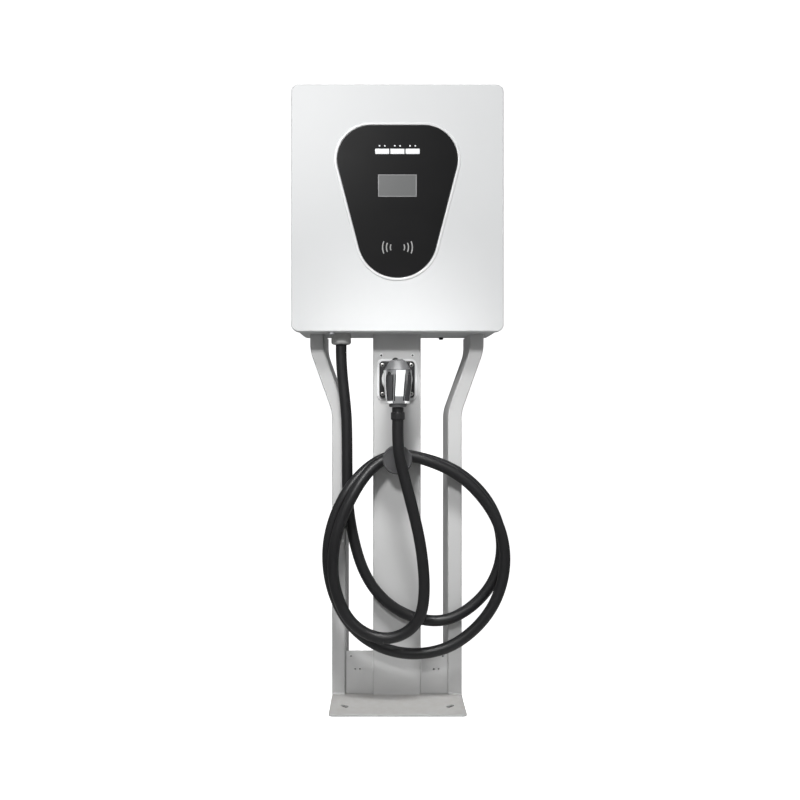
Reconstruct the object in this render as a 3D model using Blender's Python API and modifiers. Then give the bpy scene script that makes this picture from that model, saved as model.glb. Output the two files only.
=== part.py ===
"""EV charging post: a wall-type DC charging cabinet on a floor pedestal, with its gun and cable.

Metres, +Z up. The origin is on the floor, below the middle of the post's front face.
-Y is the side that the user stands on.
"""
import math

import bmesh
import bpy
import numpy as np
from mathutils import Matrix, Vector

# Gap between pieces that touch.
FIT = 0.0003
# How far a cutter runs past what it cuts.
PAST = 0.010

# Pedestal. The post's front face is the plane y = 0.
PEDESTAL_HEIGHT = 0.925
COLUMN_WIDTH = 0.036
COLUMN_DEPTH = 0.160
COLUMN_SPREAD_LOW = 0.332
COLUMN_SPREAD_HIGH = 0.444
CRANK_BOTTOM = 0.726
CRANK_TOP = 0.882
CRANK_BEND = 0.018
SHEET = 0.0025
POST_WIDTH = 0.122
POST_DEPTH = 0.060
FOOT_FRONT = -0.125
FOOT_BEHIND = 0.006
FOOT_THICKNESS = 0.005
FOOT_CORNER = 0.010
SLOT_LENGTH = 0.024
SLOT_WIDTH = 0.010
SLOT_INSET_X = 0.036
SLOT_INSET_Y = 0.052
SLOT_ANGLE = 40
KICK_HEIGHT = 0.110
KICK_SETBACK = 0.004
KICK_HOLE = 0.002
KICK_HOLE_PLACES = ((0.012, 0.014), (0.023, 0.047), (0.035, 0.047))
STRAP_THICKNESS = 0.004
STRAP_RISE = 0.300
STRAP_TAIL = 0.024

# Cabinet.
CABINET_WIDTH = 0.523
CABINET_HEIGHT = 0.608
CABINET_FRONT = -0.075
DOOR_DEPTH = 0.026
DOOR_CORNER = 0.018
DOOR_EDGE = 0.0035
DOOR_RETURN = 0.020
SEAM = 0.003
HOUSING_DEPTH = 0.171
HOUSING_INSET = 0.0065
HOUSING_CORNER = 0.016
HOUSING_FLANGE = 0.014
OPENING_CORNER = 0.006
WALL = 0.0025
SEAL_WIDTH = 0.008
SEAL_INSET = 0.004
VENT_LENGTH = 0.090
VENT_WIDTH = 0.004
VENT_PITCH = 0.012
VENT_COUNT = 6

# Door hinge, on the right-hand side.
HINGE_INSET = 0.002
HINGE_BEHIND_DOOR = 0.005
KNUCKLE_RADIUS = 0.0035
PIN_RADIUS = 0.0016
KNUCKLE_LENGTH = 0.020
HINGE_FROM_END = 0.090
LEAF_THICKNESS = 0.002
LEAF_REACH = 0.020

# Hook lock in the door's lower wall.
LOCK_FROM_SIDE = 0.0995
LOCK_BEHIND_FRONT = 0.013
LOCK_RADIUS = 0.007
LOCK_HEAD_RADIUS = 0.008
LOCK_HEAD = 0.006
HOOK_INNER = 0.027
HOOK_OUTER = 0.031
HOOK_THICKNESS = 0.003
HOOK_FIRST = 152
HOOK_LAST = 197
HOOK_SPOKE = 14
NOTCH_ROOM = 0.005
NOTCH_WIDTH = 0.056
NOTCH_HEIGHT = 0.0097
KEEPER_REACH = 0.022
KEEPER_PIN = 0.0025
KEEPER_FOOT = 0.003

# Display panel, an outline round two upper circles and one lower circle.
PANEL_DROP = 0.185
PANEL_UPPER_SPREAD = 0.130
PANEL_UPPER_RADIUS = 0.0835
PANEL_LOWER_RADIUS = 0.098
PANEL_LOWER_DROP = 0.193
PANEL_THICKNESS = 0.004
PANEL_PROUD = 0.0015
BEZEL_WIDTH = 0.007
BEZEL_PROUD = 0.002
SCREEN_WIDTH = 0.095
SCREEN_HEIGHT = 0.055
SCREEN_DROP = 0.065
SCREEN_SUNK = 0.0004
MODULE_MARGIN = 0.006
MODULE_DEPTH = 0.012
MODULE_EDGE = 0.002
LIGHT_WIDTH = 0.0345
LIGHT_HEIGHT = 0.013
LIGHT_PITCH = 0.0374
LIGHT_RISE = 0.0192
LIGHT_DEPTH = 0.006
LIGHT_EDGE = 0.0005
LED_RADIUS = 0.0015
LED_RISE = 0.0327
LED_PAIR = 0.0131
GUIDE_SIZE = 0.006
READER_WIDTH = 0.080
READER_HEIGHT = 0.050
READER_DROP = 0.0236
BOARD = 0.0016

# Inside the housing.
PLATE = 0.002
PLATE_MARGIN = 0.022
POWER_DEPTH = 0.110
ROW_GAP = 0.055
SIDE_ROOM = 0.018
POWER_LIFT = 0.045
RAIL_HEIGHT = 0.035
RAIL_DEPTH = 0.0075
RAIL_SPACE = 0.022
RAIL_DROP = 0.130
BREAKER_WIDTH = 0.072
BREAKER_HEIGHT = 0.085
BREAKER_DEPTH = 0.068
LEVER_HUB = 0.006
LEVER_WIDTH = 0.050
LEVER_LENGTH = 0.016
LEVER_THICKNESS = 0.004
LEVER_SWING = 70
CONTACTOR_WIDTH = 0.062
CONTACTOR_HEIGHT = 0.080
CONTACTOR_DEPTH = 0.070
TERMINAL_WIDTH = 0.100
TERMINAL_HEIGHT = 0.055
TERMINAL_DEPTH = 0.045
BOARD_WIDTH = 0.120
BOARD_HEIGHT = 0.140
BOARD_LIFT = 0.060
STANDOFF = 0.010
STANDOFF_RADIUS = 0.003
FAN_SIZE = 0.092
FAN_DEPTH = 0.025
FAN_HUB = 0.018
FAN_TIP = 0.041
FAN_TIP_GAP = 0.002
FAN_SPIDER = 0.003
FAN_RAKE = 12
FAN_LIFTS = (0.155, 0.270)
FAN_FROM_FRONT = 0.085
FAN_BLADES = 7
STUD_RADIUS = 0.004
STUD_LENGTH = 0.020
STUD_LIFT = 0.045

# Cable, its gland and the breather plug under the housing.
CABLE_DIAMETER = 0.0275
GLAND_X = -0.1415
GLAND_BEHIND_SEAM = 0.0305
GLAND_RADIUS = 0.025
GLAND_HEIGHT = 0.0275
GLAND_EDGE = 0.004
GLAND_STEM = 0.018
GLAND_NUT = 0.0235
GLAND_NUT_HEIGHT = 0.006
BREATHER_X = 0.120
BREATHER_FROM_BACK = 0.025
BREATHER_RADIUS = 0.006
BREATHER_HEIGHT = 0.006
BREATHER_STEM = 0.0042

# Holster on the post.
HOLSTER_Z = 0.809
HOLSTER_WIDTH = 0.0895
HOLSTER_HEIGHT = 0.0935
HOLSTER_THICKNESS = 0.010
HOLSTER_CORNER = 0.009
HOLSTER_EDGE = 0.0012
HOLSTER_SCREW_PITCH = 0.073
BACKING_MARGIN = 0.006
BACKING_THICKNESS = 0.0017
SOCKET_RADIUS = 0.0245
NOSE_CLEARANCE = 0.0006
SOCKET_WALL = 0.0035
SOCKET_DEPTH = 0.050
SCREW_HEAD = 0.0052
SCREW_HEAD_DEPTH = 0.0022
SCREW_SHANK = 0.002
HOOP_X = -0.004
HOOP_RADIUS = 0.0070
HOOP_WIRE = 0.0022
POST_HOLE_RADIUS = 0.0025
POST_HOLE_SPREAD = 0.080
POST_HOLE_RISE = 0.062

# Cable hanger on the post.
HANGER_Z = 0.590
PEG_RADIUS = 0.010
PEG_LENGTH = 0.066
DISC_RADIUS = 0.0365
DISC_THICKNESS = 0.008
DISC_EDGE = 0.002
DISC_RISE = 0.020
DISC_SKIN = 0.003
BOLT_RADIUS = 0.004
BOLT_HEAD = 0.007
BOLT_HEAD_DEPTH = 0.005

# Gun, hanging in the holster with its handle down.
GUN_STANDOFF = 0.006
NOSE_LENGTH = 0.044
BARREL_RADIUS = 0.0275
BARREL_LENGTH = 0.077
COLLAR_RADIUS = 0.0385
COLLAR_LENGTH = 0.012
GUN_TOP = 0.044
CAP_HEIGHT = 0.024
CAP_TOP_SIZE = (0.040, 0.062)
CAP_EDGE = 0.005
BODY_SIZE = (0.064, 0.084)
BODY_HEIGHT = 0.080
BODY_FOOT_SIZE = (0.058, 0.050)
BODY_LEAN = 0.029
NECK_HEIGHT = 0.0085
NECK_RADIUS = 0.021
BUTTON_WIDTH = 0.015
BUTTON_DEPTH = 0.020
BUTTON_HEIGHT = 0.008
BUTTON_PROUD = 0.0035
BUTTON_TRAVEL = 0.003
BUTTON_EDGE = 0.0015
BUTTON_X = 0.006
NUT_RADIUS_TOP = 0.0140
NUT_RADIUS = 0.0168
NUT_HEIGHT = 0.0305

# Route of the cable's middle line, from the gland's face to the gun's nut.
CABLE_ROUTE = [
    (-0.1415, -0.0155, 0.8968), (-0.1415, -0.0155, 0.8780), (-0.1400, -0.0158, 0.8400),
    (-0.1355, -0.0163, 0.7900),
    (-0.1290, -0.0172, 0.7250), (-0.1265, -0.0180, 0.6500), (-0.1260, -0.0182, 0.5700),
    (-0.1225, -0.0184, 0.4850), (-0.1080, -0.0186, 0.4000), (-0.0790, -0.0188, 0.3150),
    (-0.0280, -0.0190, 0.2480), (0.0480, -0.0190, 0.2060), (0.1200, -0.0190, 0.2010),
    (0.1880, -0.0190, 0.2350), (0.2370, -0.0190, 0.2900), (0.2620, -0.0190, 0.3600),
    (0.2590, -0.0190, 0.4300), (0.2330, -0.0190, 0.4950), (0.1870, -0.0190, 0.5500),
    (0.1300, -0.0190, 0.5880), (0.0620, -0.0190, 0.6110), (0.0000, -0.0190, 0.6180),
    (-0.0480, -0.0215, 0.6030), (-0.0900, -0.0340, 0.5720), (-0.1260, -0.0475, 0.5270),
    (-0.1560, -0.0500, 0.4650), (-0.1720, -0.0500, 0.3950), (-0.1700, -0.0500, 0.3250),
    (-0.1500, -0.0500, 0.2550), (-0.1130, -0.0500, 0.1950), (-0.0600, -0.0500, 0.1520),
    (0.0000, -0.0500, 0.1300), (0.0640, -0.0500, 0.1270), (0.1300, -0.0500, 0.1440),
    (0.1900, -0.0500, 0.1850), (0.2360, -0.0500, 0.2420), (0.2620, -0.0500, 0.3100),
    (0.2670, -0.0500, 0.3800), (0.2480, -0.0500, 0.4550), (0.2060, -0.0500, 0.5200),
    (0.1480, -0.0500, 0.5720), (0.0740, -0.0500, 0.6060), (0.0000, -0.0500, 0.6180),
    (-0.0420, -0.0515, 0.6030), (-0.0800, -0.0640, 0.5680), (-0.1120, -0.0760, 0.5180),
    (-0.1400, -0.0805, 0.4550), (-0.1560, -0.0815, 0.3850), (-0.1560, -0.0820, 0.3200),
    (-0.1400, -0.0830, 0.2600), (-0.1140, -0.0850, 0.2170), (-0.0790, -0.0875, 0.1895),
    (-0.0322, -0.0905, 0.1770), (0.0153, -0.0940, 0.1897), (0.0501, -0.0970, 0.2245),
    (0.0628, -0.1000, 0.2720), (0.0640, -0.1025, 0.3180),
    (0.0600, -0.1055, 0.3700), (0.0490, -0.1095, 0.4380), (0.0330, -0.1140, 0.5050),
    (0.0150, -0.1180, 0.5750), (0.0024, -0.1233, 0.6350), (0.0000, -0.1243, 0.6720),
    (0.0000, -0.1243, 0.7091),
]
CABLE_STEP = 0.0565

# Heights and depths that follow from the sizes above.
CABINET_BOTTOM = PEDESTAL_HEIGHT
CABINET_TOP = CABINET_BOTTOM + CABINET_HEIGHT
CABINET_MIDDLE = CABINET_BOTTOM + CABINET_HEIGHT / 2
DOOR_BACK = CABINET_FRONT + DOOR_DEPTH
HOUSING_FRONT = DOOR_BACK + SEAM
HOUSING_BACK = HOUSING_FRONT + HOUSING_DEPTH
HOUSING_WIDTH = CABINET_WIDTH - 2 * HOUSING_INSET
PANEL_FRONT = CABINET_FRONT - PANEL_PROUD
PANEL_BACK = PANEL_FRONT + PANEL_THICKNESS
PANEL_TOP_Z = CABINET_TOP - PANEL_DROP
PANEL_LOW_Z = PANEL_TOP_Z - PANEL_LOWER_DROP
PLATE_BACK = HOUSING_BACK - WALL - FIT
PLATE_FRONT = PLATE_BACK - PLATE
RAIL_FRONT = PLATE_FRONT - FIT - RAIL_DEPTH
RAIL_Z = CABINET_TOP - RAIL_DROP
HINGE_X = CABINET_WIDTH / 2 - HINGE_INSET
HINGE_Y = DOOR_BACK + HINGE_BEHIND_DOOR
LOCK_Y = CABINET_FRONT + LOCK_BEHIND_FRONT
GLAND_Y = HOUSING_FRONT + GLAND_BEHIND_SEAM
HOLSTER_BACK = -FIT - BACKING_THICKNESS - FIT
HOLSTER_FRONT = HOLSTER_BACK - HOLSTER_THICKNESS
BARREL_FRONT = HOLSTER_FRONT - GUN_STANDOFF
GUN_TOP_Z = HOLSTER_Z + GUN_TOP
BODY_TOP_Z = GUN_TOP_Z - CAP_HEIGHT - FIT
BODY_FOOT_Z = BODY_TOP_Z - BODY_HEIGHT
NECK_FOOT_Z = BODY_FOOT_Z - NECK_HEIGHT
BODY_Y = BARREL_FRONT - BARREL_LENGTH
NUT_Y = BODY_Y - BODY_LEAN

UPRIGHT = (math.pi / 2, 0, 0)
SIDEWAYS = (math.pi / 2, 0, math.pi / 2)
LYING = (0, 0, 0)

COLOURS = {
    "painted_white": ((0.80, 0.81, 0.81), 0.35, 0.0),
    "painted_grey": ((0.62, 0.63, 0.62), 0.40, 0.1),
    "housing_grey": ((0.55, 0.56, 0.56), 0.45, 0.1),
    "panel_black": ((0.028, 0.028, 0.030), 0.20, 0.0),
    "bezel_white": ((0.86, 0.87, 0.87), 0.25, 0.0),
    "screen_grey": ((0.18, 0.18, 0.19), 0.15, 0.0),
    "light_white": ((0.92, 0.93, 0.94), 0.30, 0.0),
    "rubber_black": ((0.012, 0.012, 0.012), 0.75, 0.0),
    "plastic_black": ((0.015, 0.015, 0.016), 0.45, 0.0),
    "plastic_grey": ((0.16, 0.16, 0.16), 0.50, 0.0),
    "gun_white": ((0.75, 0.75, 0.74), 0.40, 0.0),
    "steel": ((0.62, 0.62, 0.60), 0.30, 1.0),
    "zinc": ((0.50, 0.51, 0.53), 0.45, 0.9),
    "board_green": ((0.02, 0.16, 0.06), 0.50, 0.0),
    "aluminium": ((0.66, 0.67, 0.68), 0.35, 1.0),
    "copper": ((0.72, 0.35, 0.18), 0.35, 1.0),
}


def clearScene():
    for item in list(bpy.data.objects):
        bpy.data.objects.remove(item, do_unlink=True)


def newCollection(name):
    group = bpy.data.collections.new(name)
    bpy.context.scene.collection.children.link(group)
    return group


clearScene()
PARTS = newCollection("ev_charging_post")
CUTTERS = newCollection("cutters")


def material(name):
    found = bpy.data.materials.get(name)
    if found:
        return found
    colour, roughness, metallic = COLOURS[name]
    made = bpy.data.materials.new(name)
    made.use_nodes = True
    shader = made.node_tree.nodes["Principled BSDF"]
    shader.inputs["Base Color"].default_value = (*colour, 1)
    shader.inputs["Roughness"].default_value = roughness
    shader.inputs["Metallic"].default_value = metallic
    made.diffuse_color = (*colour, 1)
    return made


def addObject(name, mesh, look, place=(0, 0, 0), turn=LYING):
    """Put a mesh in the parts, or among the cutters when it has no look."""
    item = bpy.data.objects.new(name, mesh)
    item.location = place
    item.rotation_euler = turn
    if look:
        PARTS.objects.link(item)
        mesh.materials.append(material(look))
    else:
        CUTTERS.objects.link(item)
        item.hide_render = True
        item.display_type = "WIRE"
    return item


def bevelEdges(shape, width, segments, wanted):
    edges = [edge for edge in shape.edges if wanted(edge)]
    bmesh.ops.bevel(
        shape, geom=edges, offset=width, segments=segments, profile=0.5, affect="EDGES", clamp_overlap=True)


def box(name, low, high, look, bevel=0.0, segments=2):
    """A block between two corners, with all its edges rounded by bevel."""
    low = Vector(low)
    high = Vector(high)
    size = high - low
    shape = bmesh.new()
    bmesh.ops.create_cube(shape, size=1.0, matrix=Matrix.Diagonal((*size, 1)))
    if bevel:
        bevelEdges(shape, bevel, segments, lambda edge: True)
    mesh = bpy.data.meshes.new(name)
    shape.to_mesh(mesh)
    shape.free()
    return addObject(name, mesh, look, (low + high) / 2)


def cylinder(name, radius, start, end, look, segments=32, end_radius=None):
    """A round bar, or a cone when end_radius differs, from start to end."""
    start = Vector(start)
    end = Vector(end)
    run = end - start
    shape = bmesh.new()
    top = radius if end_radius is None else end_radius
    bmesh.ops.create_cone(
        shape, cap_ends=True, segments=segments, radius1=radius, radius2=top, depth=run.length)
    mesh = bpy.data.meshes.new(name)
    shape.to_mesh(mesh)
    shape.free()
    item = addObject(name, mesh, look, (start + end) / 2, run.to_track_quat("Z", "Y").to_euler())
    mesh.shade_smooth()
    mesh.set_sharp_from_angle(angle=math.radians(40))
    return item


def turned(name, profile, look, place, turn=LYING, steps=32):
    """A solid of revolution round local Z from (radius, height) points, listed from top to bottom."""
    mesh = bpy.data.meshes.new(name)
    points = [(radius, 0, height) for radius, height in profile]
    mesh.from_pydata(points, [(i, i + 1) for i in range(len(points) - 1)], [])
    item = addObject(name, mesh, look, place, turn)
    screw = item.modifiers.new("Turn", "SCREW")
    screw.steps = steps
    screw.render_steps = steps
    screw.use_merge_vertices = True
    screw.merge_threshold = 0.00001
    screw.use_smooth_shade = True
    return item


def outlineSolid(name, outlines, thickness, look, place, turn, bevel=0.0, segments=2):
    """A flat outline, with holes as further outlines, thickened evenly about its own plane."""
    curve = bpy.data.curves.new(name + "_outline", "CURVE")
    curve.dimensions = "2D"
    curve.fill_mode = "BOTH"
    curve.extrude = thickness / 2
    for outline in outlines:
        spline = curve.splines.new("POLY")
        spline.points.add(len(outline) - 1)
        for point, (across, up) in zip(spline.points, outline):
            point.co = (across, up, 0, 1)
        spline.use_cyclic_u = True
    carrier = bpy.data.objects.new(name + "_outline", curve)
    CUTTERS.objects.link(carrier)
    bpy.context.view_layer.update()
    mesh = bpy.data.meshes.new_from_object(carrier.evaluated_get(bpy.context.evaluated_depsgraph_get()))
    mesh.name = name
    bpy.data.objects.remove(carrier)
    shape = bmesh.new()
    shape.from_mesh(mesh)
    bmesh.ops.remove_doubles(shape, verts=shape.verts, dist=0.00001)
    bmesh.ops.dissolve_limit(shape, angle_limit=0.01, verts=shape.verts, edges=shape.edges)
    bmesh.ops.recalc_face_normals(shape, faces=shape.faces)
    if bevel:
        near = thickness / 2 * 0.98

        def onRim(edge):
            return min(corner.co.z for corner in edge.verts) > near

        bevelEdges(shape, bevel, segments, onRim)
    shape.to_mesh(mesh)
    shape.free()
    mesh.materials.clear()
    return addObject(name, mesh, look, place, turn)


def boolean(item, tool, operation="DIFFERENCE"):
    change = item.modifiers.new(tool.name, "BOOLEAN")
    change.operation = operation
    change.solver = "EXACT"
    change.object = tool
    return item


def attach(item, axis):
    """Hang a moving piece on the empty that marks its joint."""
    item.parent = axis
    item.location = Vector(item.location) - axis.location
    return item


def jointAxis(name, place):
    axis = bpy.data.objects.new(name, None)
    axis.location = place
    axis.empty_display_size = 0.03
    PARTS.objects.link(axis)
    return axis


def arc(middle, radius, first, last, count):
    """Points along an arc; the angles are in degrees."""
    return [
        (middle[0] + radius * math.cos(angle), middle[1] + radius * math.sin(angle))
        for angle in np.radians(np.linspace(first, last, count))
    ]


def circle(middle, radius, count=32):
    return arc(middle, radius, 0, 360 - 360 / count, count)


def roundedRectangle(width, height, corner, middle=(0, 0), count=5):
    across = width / 2 - corner
    up = height / 2 - corner
    points = []
    for side, rise, first in ((1, 1, 0), (-1, 1, 90), (-1, -1, 180), (1, -1, 270)):
        points += arc((middle[0] + side * across, middle[1] + rise * up), corner, first, first + 90, count)
    return points


def rectangle(width, height, middle=(0, 0)):
    across = width / 2
    up = height / 2
    corners = ((across, up), (-across, up), (-across, -up), (across, -up))
    return [(middle[0] + a, middle[1] + b) for a, b in corners]


def obround(length, width, middle, degrees):
    """A slot with round ends, turned by an angle."""
    half = (length - width) / 2
    turn = math.radians(degrees)
    points = arc((half, 0), width / 2, -90, 90, 7) + arc((-half, 0), width / 2, 90, 270, 7)
    along = Vector((math.cos(turn), math.sin(turn)))
    across = Vector((-math.sin(turn), math.cos(turn)))
    return [tuple(Vector(middle) + a * along + b * across) for a, b in points]


def panelOutline(grow):
    """Outline round the panel's three circles, about the middle between the upper two."""
    upper = PANEL_UPPER_RADIUS + grow
    lower = PANEL_LOWER_RADIUS + grow
    half = PANEL_UPPER_SPREAD / 2
    reach = math.hypot(half, PANEL_LOWER_DROP)
    bearing = math.degrees(math.atan2(PANEL_LOWER_DROP, half))
    side = bearing - math.degrees(math.acos((lower - upper) / reach))
    points = arc((half, 0), upper, side, 90, 9)
    points += arc((-half, 0), upper, 90, 180 - side, 9)
    points += arc((0, -PANEL_LOWER_DROP), lower, 180 - side, 360 + side, 17)
    return points


def softened(points, reach):
    """Replace each inner corner of a path by a short curve that starts reach before it."""
    path = [Vector(points[0])]
    for before, corner, after in zip(points, points[1:], points[2:]):
        corner = Vector(corner)
        start = corner + (Vector(before) - corner).normalized() * reach
        end = corner + (Vector(after) - corner).normalized() * reach
        for share in (0, 0.33, 0.67, 1):
            path.append(start.lerp(corner, share).lerp(corner.lerp(end, share), share))
    return path + [Vector(points[-1])]


def smoothRoute(points, step):
    """Natural cubic spline through the points, read every step metres."""
    knots = np.array(points)
    spans = np.linalg.norm(np.diff(knots, axis=0), axis=1)
    where = np.concatenate([[0], np.cumsum(spans)])
    count = len(knots)
    system = np.eye(count)
    target = np.zeros((count, 3))
    for i in range(1, count - 1):
        system[i, i - 1:i + 2] = spans[i - 1], 2 * (spans[i - 1] + spans[i]), spans[i]
        target[i] = 6 * ((knots[i + 1] - knots[i]) / spans[i] - (knots[i] - knots[i - 1]) / spans[i - 1])
    bend = np.linalg.solve(system, target)
    pieces = max(2, round(where[-1] / step))
    route = []
    for place in np.linspace(0, where[-1], pieces + 1):
        i = min(int(np.searchsorted(where, place, side="right")) - 1, count - 2)
        ahead = (place - where[i]) / spans[i]
        back = 1 - ahead
        lift = (back ** 3 - back) * bend[i] + (ahead ** 3 - ahead) * bend[i + 1]
        route.append(back * knots[i] + ahead * knots[i + 1] + lift * spans[i] ** 2 / 6)
    return [Vector(point) for point in route]


def tube(name, points, radius, look, resolution=2):
    curve = bpy.data.curves.new(name, "CURVE")
    curve.dimensions = "3D"
    curve.bevel_depth = radius
    curve.bevel_resolution = resolution
    curve.use_fill_caps = True
    spline = curve.splines.new("POLY")
    spline.points.add(len(points) - 1)
    for point, place in zip(spline.points, points):
        point.co = (*place, 1)
    spline.use_smooth = True
    item = bpy.data.objects.new(name, curve)
    if look:
        PARTS.objects.link(item)
        curve.materials.append(material(look))
        return item
    CUTTERS.objects.link(item)
    bpy.context.view_layer.update()
    mesh = bpy.data.meshes.new_from_object(item.evaluated_get(bpy.context.evaluated_depsgraph_get()))
    bpy.data.objects.remove(item)
    shape = bmesh.new()
    shape.from_mesh(mesh)
    bmesh.ops.remove_doubles(shape, verts=shape.verts, dist=0.00001)
    bmesh.ops.recalc_face_normals(shape, faces=shape.faces)
    shape.to_mesh(mesh)
    shape.free()
    return addObject(name, mesh, look)


def ringSector(inner, outer, first, last, count=6):
    return arc((0, 0), outer, first, last, count) + arc((0, 0), inner, last, first, count)


# Pedestal.


def footPlate():
    half = COLUMN_SPREAD_LOW / 2
    back = COLUMN_DEPTH + FOOT_BEHIND
    depth = back - FOOT_FRONT
    middle = (back + FOOT_FRONT) / 2
    outlines = [roundedRectangle(2 * half, depth, FOOT_CORNER, (0, middle))]
    for side in (-1, 1):
        place = (side * (half - SLOT_INSET_X), FOOT_FRONT + SLOT_INSET_Y)
        outlines.append(obround(SLOT_LENGTH, SLOT_WIDTH, place, side * SLOT_ANGLE))
        rear = (side * (POST_WIDTH / 2 + SLOT_INSET_X), back - SLOT_INSET_Y)
        outlines.append(obround(SLOT_LENGTH, SLOT_WIDTH, rear, 0))
    outlineSolid("foot_plate", outlines, FOOT_THICKNESS, "painted_grey", (0, 0, FOOT_THICKNESS / 2), LYING)


def columnEdges(inset, below, above):
    """The two cranked edges of the right-hand column, as (x, z) points from bottom to top."""
    edges = []
    for shift in (-inset, inset - COLUMN_WIDTH):
        low = COLUMN_SPREAD_LOW / 2 + shift
        high = COLUMN_SPREAD_HIGH / 2 + shift
        path = [(low, below), (low, CRANK_BOTTOM), (high, CRANK_TOP), (high, above)]
        edges.append([tuple(point) for point in softened(path, CRANK_BEND)])
    return edges


def column(name, side):
    bottom = FOOT_THICKNESS + FIT
    top = PEDESTAL_HEIGHT - FIT
    outer, inner = columnEdges(0, bottom, top)
    outline = [(side * x, z) for x, z in outer + inner[::-1]]
    body = outlineSolid(name, [outline], COLUMN_DEPTH, "painted_grey", (0, COLUMN_DEPTH / 2, 0), UPRIGHT)
    outer, inner = columnEdges(SHEET, bottom - PAST, top + PAST)
    hollow = [(side * x, z) for x, z in outer + inner[::-1]]
    middle = SHEET + COLUMN_DEPTH / 2
    boolean(body, outlineSolid(name + "_hollow", [hollow], COLUMN_DEPTH, None, (0, middle, 0), UPRIGHT))


def backStrap(name, side):
    """A flat bar that rises inside the column's open back and carries the cabinet's back."""
    middle = side * (COLUMN_SPREAD_HIGH - COLUMN_WIDTH) / 2
    half = COLUMN_WIDTH / 2 - SHEET - FIT
    front = HOUSING_BACK + FIT
    low = PEDESTAL_HEIGHT - STRAP_TAIL
    high = PEDESTAL_HEIGHT + STRAP_RISE
    back = front + STRAP_THICKNESS
    box(name, (middle - half, front, low), (middle + half, back, high), "painted_grey", 0.001, 1)


def centrePost():
    half = POST_WIDTH / 2
    low = FOOT_THICKNESS + FIT
    high = PEDESTAL_HEIGHT - FIT
    post = box("centre_post", (-half, 0, low), (half, POST_DEPTH, high), "painted_grey")
    inner = half - SHEET
    back = POST_DEPTH + PAST
    boolean(post, box("post_hollow", (-inner, SHEET, low - PAST), (inner, back, high + PAST), None))
    hole = SOCKET_RADIUS + SOCKET_WALL + 3 * FIT
    boolean(post, cylinder("post_socket_hole", hole, (0, -PAST, HOLSTER_Z), (0, PAST, HOLSTER_Z), None))
    for side in (-1, 1):
        x = side * POST_HOLE_SPREAD / 2
        z = HOLSTER_Z + POST_HOLE_RISE
        name = "post_hole_left" if side < 0 else "post_hole_right"
        boolean(post, cylinder(name, POST_HOLE_RADIUS, (x, -PAST, z), (x, PAST, z), None, 12))
    through = ((0, -PAST, HANGER_Z), (0, PAST, HANGER_Z))
    boolean(post, cylinder("post_bolt_hole", BOLT_RADIUS + FIT, *through, None, 24))


def kickPlate(name, side):
    inner = POST_WIDTH / 2 + FIT
    outer = COLUMN_SPREAD_LOW / 2 - COLUMN_WIDTH - FIT
    low = FOOT_THICKNESS + FIT
    middle = side * (inner + outer) / 2
    outlines = [rectangle(outer - inner, KICK_HEIGHT, (middle, low + KICK_HEIGHT / 2))]
    edge = side * outer
    for across, drop in KICK_HOLE_PLACES:
        outlines.append(circle((edge - side * across, low + KICK_HEIGHT - drop), KICK_HOLE, 8))
    outlineSolid(name, outlines, SHEET, "painted_grey", (0, KICK_SETBACK + SHEET / 2, 0), UPRIGHT)


# Cabinet.


def cabinetBlock(name, inset, corner, front, back, look, bevel=0.0):
    """The cabinet's rounded outline, drawn in by inset all round, from front to back."""
    width = CABINET_WIDTH - 2 * inset
    height = CABINET_HEIGHT - 2 * inset
    outline = roundedRectangle(width, height, corner, (0, CABINET_MIDDLE))
    place = (0, (front + back) / 2, 0)
    return outlineSolid(name, [outline], back - front, look, place, UPRIGHT, bevel)


def rearHousing():
    """The housing is as high as the door, and a little narrower to clear the hinges."""
    outline = roundedRectangle(HOUSING_WIDTH, CABINET_HEIGHT, HOUSING_CORNER, (0, CABINET_MIDDLE))
    middle = (HOUSING_FRONT + HOUSING_BACK) / 2
    housing = outlineSolid("rear_housing", [outline], HOUSING_DEPTH, "housing_grey", (0, middle, 0), UPRIGHT)
    width = HOUSING_WIDTH - 2 * WALL
    height = CABINET_HEIGHT - 2 * WALL
    outline = roundedRectangle(width, height, HOUSING_CORNER - WALL, (0, CABINET_MIDDLE))
    depth = HOUSING_DEPTH - 2 * WALL
    boolean(housing, outlineSolid("housing_hollow", [outline], depth, None, (0, middle, 0), UPRIGHT))
    width = HOUSING_WIDTH - 2 * HOUSING_FLANGE
    height = CABINET_HEIGHT - 2 * HOUSING_FLANGE
    outline = roundedRectangle(width, height, OPENING_CORNER, (0, CABINET_MIDDLE))
    opening = outlineSolid("housing_opening", [outline], 2 * PAST, None, (0, HOUSING_FRONT, 0), UPRIGHT)
    boolean(housing, opening)
    boolean(housing, ventSlots())
    below = CABINET_BOTTOM - PAST
    above = CABINET_BOTTOM + PAST
    stem = GLAND_STEM + FIT
    through = ((GLAND_X, GLAND_Y, below), (GLAND_X, GLAND_Y, above))
    boolean(housing, cylinder("gland_hole", stem, *through, None))
    y = HOUSING_BACK - BREATHER_FROM_BACK
    through = ((BREATHER_X, y, below), (BREATHER_X, y, above))
    boolean(housing, cylinder("breather_hole", BREATHER_STEM + FIT, *through, None, 16))
    boolean(housing, lockNotch("housing_notch", HOUSING_FRONT - SEAM, HOUSING_FRONT + 2 * WALL))


def fanPlaces():
    return [(HOUSING_FRONT + FAN_FROM_FRONT, CABINET_BOTTOM + lift) for lift in FAN_LIFTS]


def ventSlots():
    """Slots through both side walls, one bank level with each fan."""
    outlines = []
    for y, z in fanPlaces():
        for i in range(VENT_COUNT):
            rise = (i - (VENT_COUNT - 1) / 2) * VENT_PITCH
            outlines.append(obround(VENT_LENGTH, VENT_WIDTH, (y, z + rise), 0))
    return outlineSolid("vent_slots", outlines, CABINET_WIDTH + 2 * PAST, None, (0, 0, 0), SIDEWAYS)


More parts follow.
